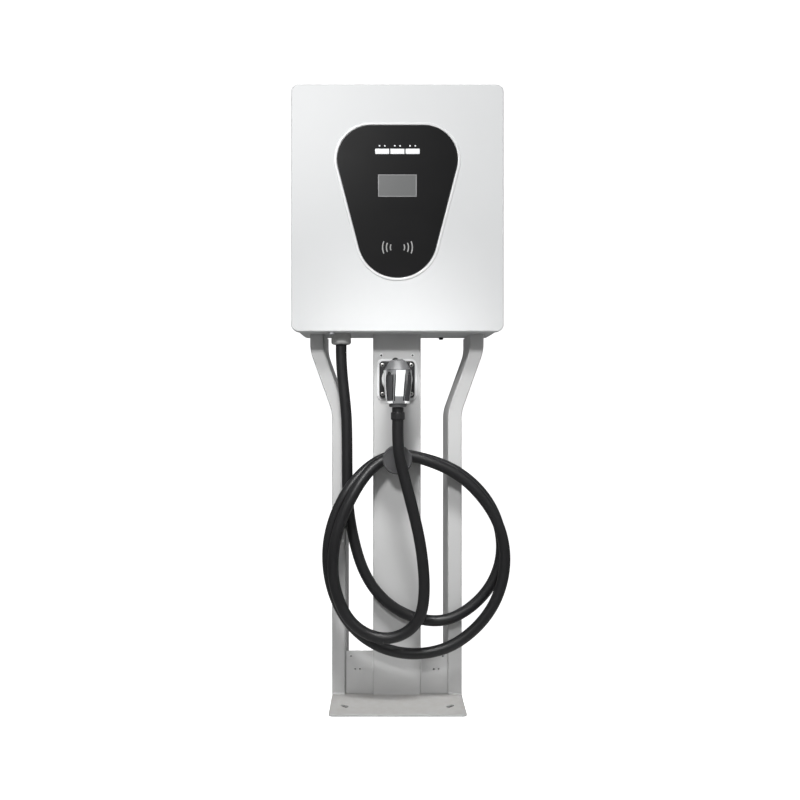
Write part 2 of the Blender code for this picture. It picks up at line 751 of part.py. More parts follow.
def lockNotch(name, front, back):
    """Room for the lock's hook to swing across the flanges, above the seal."""
    low = CABINET_BOTTOM + SEAL_INSET + SEAL_WIDTH + FIT
    high = low + NOTCH_HEIGHT
    left = lockX() - HOOK_OUTER - NOTCH_ROOM
    return box(name, (left, front, low), (left + NOTCH_WIDTH, back, high), None)


def lockX():
    return LOCK_FROM_SIDE - CABINET_WIDTH / 2


def frontDoor():
    door = cabinetBlock("front_door", 0, DOOR_CORNER, CABINET_FRONT, DOOR_BACK, "painted_white", DOOR_EDGE)
    front = CABINET_FRONT + WALL
    back = DOOR_BACK - LEAF_THICKNESS
    boolean(door, cabinetBlock("door_hollow", WALL, DOOR_CORNER - WALL, front, back, None))
    opening = back - LEAF_THICKNESS
    boolean(door, cabinetBlock("door_opening", DOOR_RETURN, OPENING_CORNER, opening, DOOR_BACK + PAST, None))
    place = (0, CABINET_FRONT, PANEL_TOP_Z)
    boolean(door, outlineSolid("panel_hole", [panelOutline(FIT)], 2 * PAST, None, place, UPRIGHT))
    low = CABINET_BOTTOM - PAST
    high = CABINET_BOTTOM + PAST
    x = lockX()
    boolean(door, cylinder("lock_hole", LOCK_RADIUS + FIT, (x, LOCK_Y, low), (x, LOCK_Y, high), None, 24))
    boolean(door, lockNotch("door_notch", back - SEAM, DOOR_BACK + SEAM))
    return door


def doorSeal():
    outer = SEAL_INSET
    inner = SEAL_INSET + SEAL_WIDTH
    outlines = [
        roundedRectangle(HOUSING_WIDTH - 2 * edge, CABINET_HEIGHT - 2 * edge, corner, (0, CABINET_MIDDLE))
        for edge, corner in ((outer, HOUSING_CORNER - outer / 2), (inner, HOUSING_CORNER - 2 * inner / 3))
    ]
    place = (0, (DOOR_BACK + HOUSING_FRONT) / 2, 0)
    return outlineSolid("door_seal", outlines, SEAM - 2 * FIT, "rubber_black", place, UPRIGHT)


def panelBezel():
    outlines = [panelOutline(BEZEL_WIDTH), panelOutline(2 * FIT)]
    back = CABINET_FRONT - FIT
    front = CABINET_FRONT - BEZEL_PROUD
    place = (0, (front + back) / 2, PANEL_TOP_Z)
    return outlineSolid("panel_bezel", outlines, back - front, "bezel_white", place, UPRIGHT)


def lightPlaces():
    return [((i - 1) * LIGHT_PITCH, LIGHT_RISE) for i in range(3)]


def ledPlaces():
    places = []
    for middle, rise in lightPlaces():
        places += [(middle - LED_PAIR / 2, LED_RISE), (middle + LED_PAIR / 2, LED_RISE)]
    return places


def displayPanel():
    """Black panel with a window for the screen, three slots for the lights and six light-guide holes."""
    outlines = [panelOutline(0)]
    outlines.append(rectangle(SCREEN_WIDTH + 2 * FIT, SCREEN_HEIGHT + 2 * FIT, (0, -SCREEN_DROP)))
    for place in lightPlaces():
        outlines.append(rectangle(LIGHT_WIDTH + 2 * FIT, LIGHT_HEIGHT + 2 * FIT, place))
    for place in ledPlaces():
        outlines.append(circle(place, LED_RADIUS + FIT, 10))
    place = (0, (PANEL_FRONT + PANEL_BACK) / 2, PANEL_TOP_Z)
    return outlineSolid("display_panel", outlines, PANEL_THICKNESS, "panel_black", place, UPRIGHT)


def screenModule():
    half = SCREEN_WIDTH / 2
    z = PANEL_TOP_Z - SCREEN_DROP
    up = SCREEN_HEIGHT / 2
    back = PANEL_BACK + FIT
    body = box(
        "lcd_module", (-half - MODULE_MARGIN, back, z - up - MODULE_MARGIN),
        (half + MODULE_MARGIN, back + MODULE_DEPTH, z + up + MODULE_MARGIN), "screen_grey")
    front = PANEL_FRONT + SCREEN_SUNK
    boolean(body, box("lcd_face", (-half, front, z - up), (half, back + PANEL_PROUD, z + up), None), "UNION")
    return body


def statusLights():
    lights = []
    for name, (x, rise) in zip(("left", "middle", "right"), lightPlaces()):
        z = PANEL_TOP_Z + rise
        low = (x - LIGHT_WIDTH / 2, PANEL_FRONT + FIT, z - LIGHT_HEIGHT / 2)
        high = (x + LIGHT_WIDTH / 2, PANEL_FRONT + LIGHT_DEPTH, z + LIGHT_HEIGHT / 2)
        lights.append(box("status_light_" + name, low, high, "light_white", LIGHT_EDGE, 1))
    return lights


def ledLightGuide():
    """One clear bar behind the panel with six studs that show as dots."""
    z = PANEL_TOP_Z + LED_RISE
    half = LIGHT_PITCH + LED_PAIR / 2 + 3 * LED_RADIUS
    back = PANEL_BACK + FIT
    low = (-half, back, z - GUIDE_SIZE / 2)
    bar = box("led_light_guide", low, (half, back + GUIDE_SIZE / 2, z + GUIDE_SIZE / 2), "light_white")
    for i, (x, rise) in enumerate(ledPlaces()):
        stud = ((x, PANEL_FRONT + FIT, z), (x, back + PANEL_PROUD, z))
        boolean(bar, cylinder(f"led_stud_{i + 1}", LED_RADIUS, *stud, None, 10), "UNION")
    return bar


def readerBoard():
    z = PANEL_LOW_Z - READER_DROP
    back = PANEL_BACK + FIT
    low = (-READER_WIDTH / 2, back, z - READER_HEIGHT / 2)
    return box("reader_board", low, (READER_WIDTH / 2, back + BOARD, z + READER_HEIGHT / 2), "board_green")


# Door hinge and lock.


def hingePlaces():
    return {"upper": CABINET_TOP - HINGE_FROM_END, "lower": CABINET_BOTTOM + HINGE_FROM_END}


def knuckle(name, look, low, high):
    return cylinder(name, KNUCKLE_RADIUS, (HINGE_X, HINGE_Y, low), (HINGE_X, HINGE_Y, high), look, 16)


def pinBore(name, low, high):
    radius = PIN_RADIUS + FIT
    return cylinder(name, radius, (HINGE_X, HINGE_Y, low - PAST), (HINGE_X, HINGE_Y, high + PAST), None, 12)


def frameLeaf(name, z):
    """Leaf on the housing's side, with the lower knuckle."""
    low = z - KNUCKLE_LENGTH
    high = z - FIT / 2
    leaf = knuckle(name, "zinc", low, high)
    inner = HOUSING_WIDTH / 2 + FIT
    outer = inner + LEAF_THICKNESS
    plate = box(name + "_plate", (inner, HINGE_Y, low), (outer, HINGE_Y + LEAF_REACH, high), None)
    boolean(leaf, plate, "UNION")
    boolean(leaf, pinBore(name + "_bore", low, high))


def doorLeaf(name, z):
    """Short leaf on the door's return, with the upper knuckle."""
    low = z + FIT / 2
    high = z + KNUCKLE_LENGTH
    leaf = knuckle(name, "zinc", low, high)
    front = DOOR_BACK + FIT
    inner = HOUSING_WIDTH / 2 - HINGE_INSET / 4
    outer = HINGE_X + KNUCKLE_RADIUS / 3
    plate = box(name + "_plate", (inner, front, low), (outer, front + LEAF_THICKNESS, high), None)
    boolean(leaf, plate, "UNION")
    boolean(leaf, pinBore(name + "_bore", low, high))
    return leaf


def hingePin(name, z):
    low = z - KNUCKLE_LENGTH + FIT
    high = z + KNUCKLE_LENGTH - FIT
    cylinder(name, PIN_RADIUS, (HINGE_X, HINGE_Y, low), (HINGE_X, HINGE_Y, high), "steel", 12)


def hookHeight():
    return CABINET_BOTTOM + SEAL_INSET + SEAL_WIDTH + 4 * FIT


def lockBarrel():
    x = lockX()
    under = CABINET_BOTTOM - FIT
    head = ((x, LOCK_Y, under - LOCK_HEAD), (x, LOCK_Y, under))
    barrel = cylinder("lock_barrel", LOCK_HEAD_RADIUS, *head, "zinc", 24)
    body = ((x, LOCK_Y, under - LOCK_HEAD / 6), (x, LOCK_Y, hookHeight() - FIT))
    boolean(barrel, cylinder("lock_body", LOCK_RADIUS, *body, None, 24), "UNION")
    return barrel


def lockHook():
    """Hook turned clear of the keeper: a hub, a spoke and an arc round the lock's axis."""
    x = lockX()
    low = hookHeight()
    high = low + HOOK_THICKNESS
    hook = cylinder("lock_hook", LOCK_RADIUS, (x, LOCK_Y, low), (x, LOCK_Y, high), "zinc", 24)
    sector = ringSector(HOOK_INNER, HOOK_OUTER, HOOK_FIRST, HOOK_LAST)
    middle = (HOOK_INNER + HOOK_OUTER) / 2
    spoke = ringSector(LOCK_RADIUS * 0.6, middle, HOOK_LAST - HOOK_SPOKE, HOOK_LAST, 2)
    place = (x, LOCK_Y, (low + high) / 2)
    boolean(hook, outlineSolid("hook_arc", [sector], HOOK_THICKNESS, None, place, LYING), "UNION")
    boolean(hook, outlineSolid("hook_spoke", [spoke], HOOK_THICKNESS * 0.98, None, place, LYING), "UNION")
    return hook


def lockKeeper():
    """Pin on a small foot, standing on the housing's floor behind the seam."""
    x = lockX()
    y = LOCK_Y + KEEPER_REACH
    floor = CABINET_BOTTOM + WALL + FIT
    wide = 2 * KEEPER_PIN
    deep = 1.4 * KEEPER_PIN
    top = hookHeight() + HOOK_THICKNESS
    foot = ((x - wide, y - deep, floor), (x + wide, y + deep, floor + KEEPER_FOOT))
    keeper = box("lock_keeper", *foot, "zinc")
    pin = ((x, y, floor + KEEPER_FOOT / 3), (x, y, top + KEEPER_PIN))
    boolean(keeper, cylinder("keeper_pin", KEEPER_PIN, *pin, None, 16), "UNION")


# Inside the housing.


def innerHalf():
    """Half the width between the housing's side walls."""
    return HOUSING_WIDTH / 2 - WALL


def mountingPlate():
    half = innerHalf() - PLATE_MARGIN
    low = CABINET_BOTTOM + WALL + PLATE_MARGIN
    high = CABINET_TOP - WALL - PLATE_MARGIN
    plate = box("mounting_plate", (-half, PLATE_FRONT, low), (half, PLATE_BACK, high), "zinc")
    x, z = boardPlace()
    across = BOARD_WIDTH / 2 - 2 * STANDOFF_RADIUS
    up = BOARD_HEIGHT / 2 - 2 * STANDOFF_RADIUS
    for i, (a, b) in enumerate(((1, 1), (-1, 1), (-1, -1), (1, -1))):
        start = (x + a * across, PLATE_FRONT + PLATE / 2, z + b * up)
        end = (x + a * across, PLATE_FRONT - STANDOFF, z + b * up)
        boolean(plate, cylinder(f"standoff_{i + 1}", STANDOFF_RADIUS, start, end, None, 10), "UNION")


def boardPlace():
    x = innerHalf() - FAN_DEPTH - SIDE_ROOM - BOARD_WIDTH / 2
    return x, CABINET_BOTTOM + BOARD_LIFT + BOARD_HEIGHT / 2


def controlBoard():
    x, z = boardPlace()
    back = PLATE_FRONT - STANDOFF - FIT
    low = (x - BOARD_WIDTH / 2, back - BOARD, z - BOARD_HEIGHT / 2)
    box("control_board", low, (x + BOARD_WIDTH / 2, back, z + BOARD_HEIGHT / 2), "board_green")


def powerModule():
    left = SIDE_ROOM - innerHalf()
    right = boardPlace()[0] - BOARD_WIDTH / 2 - SIDE_ROOM
    back = PLATE_FRONT - FIT
    low = (left, back - POWER_DEPTH, CABINET_BOTTOM + POWER_LIFT)
    high = (right, back, RAIL_Z - BREAKER_HEIGHT / 2 - ROW_GAP)
    box("power_module", low, high, "aluminium", MODULE_EDGE, 1)


def railPlaces():
    """Left edge of each device on the rail."""
    left = SIDE_ROOM + PLATE_MARGIN - innerHalf()
    breaker = left + RAIL_SPACE
    contactor = breaker + BREAKER_WIDTH + RAIL_SPACE
    terminal = contactor + CONTACTOR_WIDTH + RAIL_SPACE
    return left, breaker, contactor, terminal


def dinRail():
    left = railPlaces()[0]
    up = RAIL_HEIGHT / 2
    box("din_rail", (left, RAIL_FRONT, RAIL_Z - up), (-left, PLATE_FRONT - FIT, RAIL_Z + up), "zinc")


def railDevice(name, left, width, height, depth, look):
    back = RAIL_FRONT - FIT
    up = height / 2
    low = (left, back - depth, RAIL_Z - up)
    return box(name, low, (left + width, back, RAIL_Z + up), look, MODULE_EDGE, 1)


def leverAxis():
    left = railPlaces()[1]
    return Vector((left + BREAKER_WIDTH / 2, RAIL_FRONT - FIT - BREAKER_DEPTH + LEVER_HUB / 3, RAIL_Z))


def breaker():
    size = (BREAKER_WIDTH, BREAKER_HEIGHT, BREAKER_DEPTH)
    body = railDevice("breaker_body", railPlaces()[1], *size, "plastic_grey")
    axis = leverAxis()
    reach = Vector((LEVER_WIDTH / 2 + 2 * FIT, 0, 0))
    boolean(body, cylinder("lever_groove", LEVER_HUB + 2 * FIT, axis - reach, axis + reach, None, 20))


def breakerLever():
    """Lever bar on a round hub that lies in the breaker's groove, switched on (up)."""
    axis = leverAxis()
    reach = Vector((LEVER_WIDTH / 2, 0, 0))
    lever = cylinder("breaker_lever", LEVER_HUB, -reach, reach, "plastic_black", 20)
    lever.location = axis
    half = Vector((LEVER_WIDTH / 2, (LEVER_HUB + LEVER_LENGTH) / 2, LEVER_THICKNESS / 2))
    handle = box("lever_handle", -half, half, None)
    handle.rotation_euler = (math.radians(-LEVER_SWING / 2), 0, 0)
    handle.location = axis - handle.rotation_euler.to_matrix() @ Vector((0, half.y, 0))
    boolean(lever, handle, "UNION")
    return lever


def fanFrame(name, y, z):
    """Square frame against the right-hand wall, with a spider that carries the rotor's hub."""
    outer = innerHalf() - FIT
    place = (outer - FAN_DEPTH / 2, y, z)
    rim = FAN_TIP + FAN_TIP_GAP
    outlines = [roundedRectangle(FAN_SIZE, FAN_SIZE, OPENING_CORNER, count=3), circle((0, 0), rim, 32)]
    frame = outlineSolid(name, outlines, FAN_DEPTH, "plastic_black", place, SIDEWAYS)
    windows = [circle((0, 0), rim + FAN_TIP_GAP, 32)]
    for i in range(4):
        windows.append(ringSector(FAN_HUB, FAN_TIP + FAN_TIP_GAP / 2, 90 * i + 6, 90 * i + 84, 8))
    place = (outer - FAN_SPIDER / 2, y, z)
    boolean(frame, outlineSolid(name + "_spider", windows, FAN_SPIDER, None, place, SIDEWAYS), "UNION")


def fanRotor(name, y, z):
    """Hub and flat blades, raked by turning the rotor's inlet side."""
    depth = FAN_DEPTH - FAN_SPIDER - 3 * FIT
    outline = []
    for i in range(FAN_BLADES):
        first = 360 * i / FAN_BLADES
        outline += arc((0, 0), FAN_HUB - FAN_TIP_GAP / 2, first, first + 24, 3)
        outline += arc((0, 0), FAN_TIP, first + 30, first + 48, 3)
    x = innerHalf() - FIT - FAN_SPIDER - FIT - depth / 2
    rotor = outlineSolid(name, [outline], depth, "plastic_black", (x, y, z), SIDEWAYS)
    rake = Matrix.Rotation(math.radians(FAN_RAKE), 4, "Z")
    for corner in rotor.data.vertices:
        if corner.co.z < 0:
            corner.co = rake @ corner.co
    return rotor


def earthStud():
    x = innerHalf() - PLATE_MARGIN - SIDE_ROOM
    z = CABINET_BOTTOM + STUD_LIFT
    start = (x, PLATE_FRONT - FIT, z)
    end = (x, PLATE_FRONT - FIT - STUD_LENGTH, z)
    cylinder("earth_stud", STUD_RADIUS, start, end, "copper", 12)


# Gland, breather and cable.


def cableGland():
    top = CABINET_BOTTOM - FIT
    low = top - GLAND_HEIGHT
    edge = GLAND_EDGE
    floor = CABINET_BOTTOM + WALL + FIT
    profile = [
        (0, floor + GLAND_NUT_HEIGHT), (GLAND_STEM, floor + GLAND_NUT_HEIGHT),
        (GLAND_STEM, top), (GLAND_RADIUS, top), (GLAND_RADIUS, low + edge),
        (GLAND_RADIUS - 0.3 * edge, low + 0.3 * edge), (GLAND_RADIUS - edge, low), (0, low),
    ]
    turned("gland_body", profile, "plastic_grey", (GLAND_X, GLAND_Y, 0))
    outlines = [circle((0, 0), GLAND_NUT, 6), circle((0, 0), GLAND_STEM + FIT, 32)]
    place = (GLAND_X, GLAND_Y, floor + GLAND_NUT_HEIGHT / 2)
    outlineSolid("gland_lock_nut", outlines, GLAND_NUT_HEIGHT, "plastic_grey", place, LYING)


def breatherPlug():
    y = HOUSING_BACK - BREATHER_FROM_BACK
    top = CABINET_BOTTOM - FIT
    head = top - BREATHER_HEIGHT
    stem = CABINET_BOTTOM + WALL
    profile = [
        (0, stem), (BREATHER_STEM, stem), (BREATHER_STEM, top), (BREATHER_RADIUS, top),
        (BREATHER_RADIUS * 0.75, head), (0, head),
    ]
    turned("breather_plug", profile, "plastic_black", (BREATHER_X, y, 0), steps=16)


def chargingCable():
    tube("charging_cable", smoothRoute(CABLE_ROUTE, CABLE_STEP), CABLE_DIAMETER / 2, "rubber_black")


# Holster and hanger.


def holster():
    width = HOLSTER_WIDTH + 2 * BACKING_MARGIN
    height = HOLSTER_HEIGHT + 2 * BACKING_MARGIN
    middle = (0, HOLSTER_Z)
    hole = circle(middle, SOCKET_RADIUS + SOCKET_WALL + 3 * FIT)
    outlines = [roundedRectangle(width, height, HOLSTER_CORNER + BACKING_MARGIN, middle), hole]
    place = (0, -FIT - BACKING_THICKNESS / 2, 0)
    outlineSolid("holster_backing", outlines, BACKING_THICKNESS, "bezel_white", place, UPRIGHT)
    outline = roundedRectangle(HOLSTER_WIDTH, HOLSTER_HEIGHT, HOLSTER_CORNER, middle)
    place = (0, (HOLSTER_FRONT + HOLSTER_BACK) / 2, 0)
    flange = outlineSolid(
        "holster_flange", [outline], HOLSTER_THICKNESS, "plastic_black", place, UPRIGHT, HOLSTER_EDGE, 1)
    end = HOLSTER_FRONT + SOCKET_DEPTH
    outer = SOCKET_RADIUS + SOCKET_WALL
    start = HOLSTER_FRONT + HOLSTER_THICKNESS / 2
    boolean(flange, cylinder("socket_tube", outer, (0, start, HOLSTER_Z), (0, end, HOLSTER_Z), None), "UNION")
    bore = ((0, HOLSTER_FRONT - PAST, HOLSTER_Z), (0, end - SOCKET_WALL, HOLSTER_Z))
    boolean(flange, holsterHoop(), "UNION")
    boolean(flange, cylinder("socket_bore", SOCKET_RADIUS, *bore, None))
    for i, (x, z) in enumerate(holsterScrewPlaces()):
        hole = ((x, HOLSTER_FRONT - PAST, z), (x, HOLSTER_BACK + PAST, z))
        boolean(flange, cylinder(f"holster_screw_hole_{i + 1}", SCREW_SHANK + FIT, *hole, None, 10))
        screw((x, HOLSTER_FRONT - FIT, z), f"holster_screw_{i + 1}", HOLSTER_THICKNESS)


def holsterHoop():
    """Padlock hoop standing on the flange's upper edge."""
    y = (HOLSTER_FRONT + HOLSTER_BACK) / 2
    top = HOLSTER_Z + HOLSTER_HEIGHT / 2
    points = [(x, y, z) for x, z in arc((HOOP_X, top), HOOP_RADIUS, -30, 210, 15)]
    return tube("holster_hoop", points, HOOP_WIRE, None)


def holsterScrewPlaces():
    half = HOLSTER_SCREW_PITCH / 2
    return [(a * half, HOLSTER_Z + b * half) for a, b in ((1, 1), (-1, 1), (-1, -1), (1, -1))]


def screw(seat, name, depth):
    """Pan-head screw whose head sits in front of seat, along +Y."""
    profile = [
        (0, SCREW_HEAD_DEPTH), (SCREW_HEAD * 0.7, SCREW_HEAD_DEPTH), (SCREW_HEAD, SCREW_HEAD_DEPTH * 0.4),
        (SCREW_HEAD, 0), (SCREW_SHANK, 0), (SCREW_SHANK, -depth), (0, -depth),
    ]
    turned(name, profile, "steel", seat, UPRIGHT, 14)


def cableHanger():
    """Round peg that carries the cable's turns, and a disc set high on its end to keep them on."""
    peg_front = -FIT - PEG_LENGTH
    peg = cylinder("hanger_peg", PEG_RADIUS, (0, -FIT, HANGER_Z), (0, peg_front, HANGER_Z), "steel", 24)
    hole = BOLT_RADIUS + FIT
    through = ((0, PAST, HANGER_Z), (0, peg_front - PAST, HANGER_Z))
    boolean(peg, cylinder("peg_bore", hole, *through, None, 16))
    disc_back = peg_front - FIT
    disc_z = HANGER_Z + DISC_RISE
    front = disc_back - DISC_THICKNESS
    edge = DISC_EDGE
    profile = [
        (0, DISC_THICKNESS), (DISC_RADIUS - edge, DISC_THICKNESS), (DISC_RADIUS, DISC_THICKNESS - edge),
        (DISC_RADIUS, 0), (0, 0),
    ]
    disc = turned("hanger_disc", profile, "plastic_black", (0, disc_back, disc_z), UPRIGHT, 40)
    blind = ((0, disc_back + PAST, HANGER_Z), (0, front + DISC_SKIN, HANGER_Z))
    boolean(disc, cylinder("disc_bore", hole, *blind, None, 16))
    seat = SHEET + FIT
    head = ((0, seat, HANGER_Z), (0, seat + BOLT_HEAD_DEPTH, HANGER_Z))
    bolt = cylinder("hanger_bolt", BOLT_HEAD, *head, "steel", 6)
    tip = front + DISC_SKIN + FIT
    shank = ((0, seat + BOLT_HEAD_DEPTH / 5, HANGER_Z), (0, tip, HANGER_Z))
    boolean(bolt, cylinder("bolt_shank", BOLT_RADIUS, *shank, None, 16), "UNION")


# Gun.


def ovalBlock(name, low_size, high_size, low, high, look, shift=0.0, bevel=0.0):
    """An upright oval block between two levels, its foot moved towards the user by shift."""
    shape = bmesh.new()
    bmesh.ops.create_cone(shape, cap_ends=True, segments=28, radius1=1, radius2=1, depth=1)
    for corner in shape.verts:
        upper = corner.co.z > 0
        width, depth = high_size if upper else low_size
        corner.co.x *= width / 2
        corner.co.y = corner.co.y * depth / 2 - (0 if upper else shift)
        corner.co.z = (high - low) / 2 if upper else (low - high) / 2
    if bevel:
        bevelEdges(shape, bevel, 3, lambda edge: min(corner.co.z for corner in edge.verts) > 0)
    mesh = bpy.data.meshes.new(name)
    shape.to_mesh(mesh)
    shape.free()
    item = addObject(name, mesh, look, (0, BODY_Y, (low + high) / 2))
    mesh.shade_smooth()
    mesh.set_sharp_from_angle(angle=math.radians(40))
    return item


def gunShell():
    """Collar and barrel that point into the holster, and a body that hangs from their end to a short neck."""
    shell = ovalBlock("gun_shell", BODY_FOOT_SIZE, BODY_SIZE, BODY_FOOT_Z, BODY_TOP_Z, "gun_white", BODY_LEAN)
    barrel = ((0, BARREL_FRONT, HOLSTER_Z), (0, BODY_Y, HOLSTER_Z))
    boolean(shell, cylinder("gun_barrel", BARREL_RADIUS, *barrel, None), "UNION")
    collar = ((0, BARREL_FRONT, HOLSTER_Z), (0, BARREL_FRONT - COLLAR_LENGTH, HOLSTER_Z))
    boolean(shell, cylinder("gun_collar", COLLAR_RADIUS, *collar, None), "UNION")
    neck = ((0, NUT_Y, NECK_FOOT_Z), (0, NUT_Y, BODY_FOOT_Z + NECK_HEIGHT / 4))
    boolean(shell, cylinder("gun_neck", NECK_RADIUS, *neck, None, 24), "UNION")
    return shell


def gunCap():
    """Grey cover over the gun's back end, with a pocket for the button; the barrel passes in front of it."""
    low = GUN_TOP_Z - CAP_HEIGHT
    cap = ovalBlock("gun_rear_cap", BODY_SIZE, CAP_TOP_SIZE, low, GUN_TOP_Z, "plastic_grey", 0, CAP_EDGE)
    x, y, z = buttonPlace()
    across = BUTTON_WIDTH / 2 + FIT
    deep = BUTTON_DEPTH / 2 + FIT
    floor = z - BUTTON_HEIGHT / 2 - BUTTON_TRAVEL - FIT
    top = GUN_TOP_Z + PAST
    boolean(cap, box("button_pocket", (x - across, y - deep, floor), (x + across, y + deep, top), None))
    relief = ((0, BARREL_FRONT, HOLSTER_Z), (0, BODY_Y - PAST, HOLSTER_Z))
    boolean(cap, cylinder("barrel_relief", BARREL_RADIUS + FIT, *relief, None))
    return cap


def buttonPlace():
    return BUTTON_X, BODY_Y, GUN_TOP_Z + BUTTON_PROUD - BUTTON_HEIGHT / 2


def releaseButton():
    x, y, z = buttonPlace()
    half = Vector((BUTTON_WIDTH / 2, BUTTON_DEPTH / 2, BUTTON_HEIGHT / 2))
    middle = Vector((x, y, z))
    return box("gun_release_button", middle - half, middle + half, "plastic_grey", BUTTON_EDGE)


def gunNose():
    start = (0, BARREL_FRONT + FIT, HOLSTER_Z)
    end = (0, BARREL_FRONT + NOSE_LENGTH, HOLSTER_Z)
    return cylinder("gun_nose", SOCKET_RADIUS - NOSE_CLEARANCE, start, end, "plastic_black")


def cableNut():
    top = NECK_FOOT_Z - FIT
    profile = [
        (0, 0), (NUT_RADIUS_TOP, 0), (NUT_RADIUS, -0.25 * NUT_HEIGHT), (NUT_RADIUS, -0.93 * NUT_HEIGHT),
        (0.88 * NUT_RADIUS, -NUT_HEIGHT), (0, -NUT_HEIGHT),
    ]
    return turned("gun_cable_nut", profile, "plastic_black", (0, NUT_Y, top), steps=24)


def buildPedestal():
    footPlate()
    column("right_column", 1)
    column("left_column", -1)
    centrePost()
    kickPlate("left_kick_plate", -1)
    kickPlate("right_kick_plate", 1)
    backStrap("left_back_strap", -1)
    backStrap("right_back_strap", 1)


def buildCabinet():
    rearHousing()
    lockKeeper()
    mountingPlate()
    controlBoard()
    powerModule()
    dinRail()
    breaker()
    _, _, contactor, terminal = railPlaces()
    railDevice("dc_contactor", contactor, CONTACTOR_WIDTH, CONTACTOR_HEIGHT, CONTACTOR_DEPTH, "plastic_black")
    railDevice("terminal_block", terminal, TERMINAL_WIDTH, TERMINAL_HEIGHT, TERMINAL_DEPTH, "plastic_grey")
    earthStud()
    cableGland()
    breatherPlug()
    for name, z in hingePlaces().items():
        frameLeaf(f"hinge_leaf_{name}_frame", z)
        hingePin(f"hinge_pin_{name}", z)
    for name, (y, z) in zip(("lower", "upper"), fanPlaces()):
        fanFrame(f"fan_frame_{name}", y, z)
        attach(fanRotor(f"fan_rotor_{name}", y, z), jointAxis(f"fan_axis_{name}", (innerHalf(), y, z)))
    attach(breakerLever(), jointAxis("breaker_lever_axis", leverAxis()))


def buildDoor():
    hinge = jointAxis("door_axis", (HINGE_X, HINGE_Y, CABINET_BOTTOM))
    pieces = [frontDoor(), doorSeal(), panelBezel(), displayPanel(), screenModule(), ledLightGuide()]
    pieces += [readerBoard(), lockBarrel(), *statusLights()]
    pieces += [doorLeaf(f"hinge_leaf_{name}_door", z) for name, z in hingePlaces().items()]
    for piece in pieces:
        attach(piece, hinge)
    lock = jointAxis("lock_axis", (lockX(), LOCK_Y, hookHeight()))
    attach(lockHook(), lock)


def buildGun():
    slide = jointAxis("gun_axis", (0, BARREL_FRONT, HOLSTER_Z))
    for piece in (gunShell(), gunCap(), gunNose(), cableNut()):
        attach(piece, slide)
    attach(releaseButton(), jointAxis("button_axis", buttonPlace()))


buildPedestal()
buildCabinet()
holster()
cableHanger()
chargingCable()
buildDoor()
buildGun()
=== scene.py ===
import math

import bmesh
import bpy
import numpy as np
from mathutils import Matrix, Vector


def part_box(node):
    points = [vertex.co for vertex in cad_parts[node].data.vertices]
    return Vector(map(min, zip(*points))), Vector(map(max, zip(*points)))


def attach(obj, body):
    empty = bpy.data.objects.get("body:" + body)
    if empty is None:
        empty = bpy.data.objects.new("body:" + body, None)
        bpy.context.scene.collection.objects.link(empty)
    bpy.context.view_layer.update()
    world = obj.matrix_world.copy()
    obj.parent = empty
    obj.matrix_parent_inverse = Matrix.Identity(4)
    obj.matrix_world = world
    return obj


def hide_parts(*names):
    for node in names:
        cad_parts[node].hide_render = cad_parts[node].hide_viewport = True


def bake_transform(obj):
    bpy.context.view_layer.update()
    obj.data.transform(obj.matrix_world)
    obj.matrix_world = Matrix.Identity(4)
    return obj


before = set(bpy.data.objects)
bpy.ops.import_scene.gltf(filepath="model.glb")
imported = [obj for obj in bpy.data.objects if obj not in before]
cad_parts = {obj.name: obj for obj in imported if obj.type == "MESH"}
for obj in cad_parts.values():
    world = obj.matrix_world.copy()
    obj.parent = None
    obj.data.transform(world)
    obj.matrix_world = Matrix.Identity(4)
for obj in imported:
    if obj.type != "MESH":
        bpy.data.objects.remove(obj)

scene = bpy.context.scene
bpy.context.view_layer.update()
fit = 0.0003  # gap between pieces that touch
beyond = 0.01  # how far a cutting shape stands out of what it cuts

# Camera: level, a little left of the middle, at the height of a seated eye.

cameraSettings = {"place": (-0.033, -1.925, 0.757), "lens": 33.91, "shift": 0.02}


def addCamera(settings):
    data = bpy.data.cameras.new("camera")
    data.lens = settings["lens"]
    data.sensor_width = 36
    data.shift_x = settings["shift"]
    data.dof.use_dof = False
    camera = bpy.data.objects.new("camera", data)
    camera.location = settings["place"]
    camera.rotation_euler = (math.pi / 2, 0, 0)
    scene.collection.objects.link(camera)
    scene.camera = camera


addCamera(cameraSettings)
print("camera placed")

# Material groups.


def newGroup(name, inputs, outputs):
    group = bpy.data.node_groups.new(name, "ShaderNodeTree")
    for title, kind, value in inputs:
        socket = group.interface.new_socket(title, in_out="INPUT", socket_type="NodeSocket" + kind)
        if value is not None:
            socket.default_value = value
    for title, kind in outputs:
        group.interface.new_socket(title, in_out="OUTPUT", socket_type="NodeSocket" + kind)
    return group, group.nodes.new("NodeGroupInput"), group.nodes.new("NodeGroupOutput")


def addNode(tree, kind, links=None, **facts):
    node = tree.nodes.new("ShaderNode" + kind)
    for key, value in facts.items():
        setattr(node, key, value)
    for title, source in (links or {}).items():
        if isinstance(source, bpy.types.NodeSocket):
            tree.links.new(source, node.inputs[title])
        else:
            node.inputs[title].default_value = source
    return node


def grainGroup():  # fine surface texture: noise into a bump
    tree, given, result = newGroup(
        "fine grain", [("Scale", "Float", 900), ("Depth", "Float", 0.00002)], [("Normal", "Vector")])
    place = addNode(tree, "TexCoord")
    noise = addNode(
        tree, "TexNoise", {"Vector": place.outputs["Object"], "Scale": given.outputs["Scale"]})
    bump = addNode(tree, "Bump", {"Height": noise.outputs["Fac"], "Distance": given.outputs["Depth"]})
    tree.links.new(bump.outputs["Normal"], result.inputs["Normal"])
    return tree


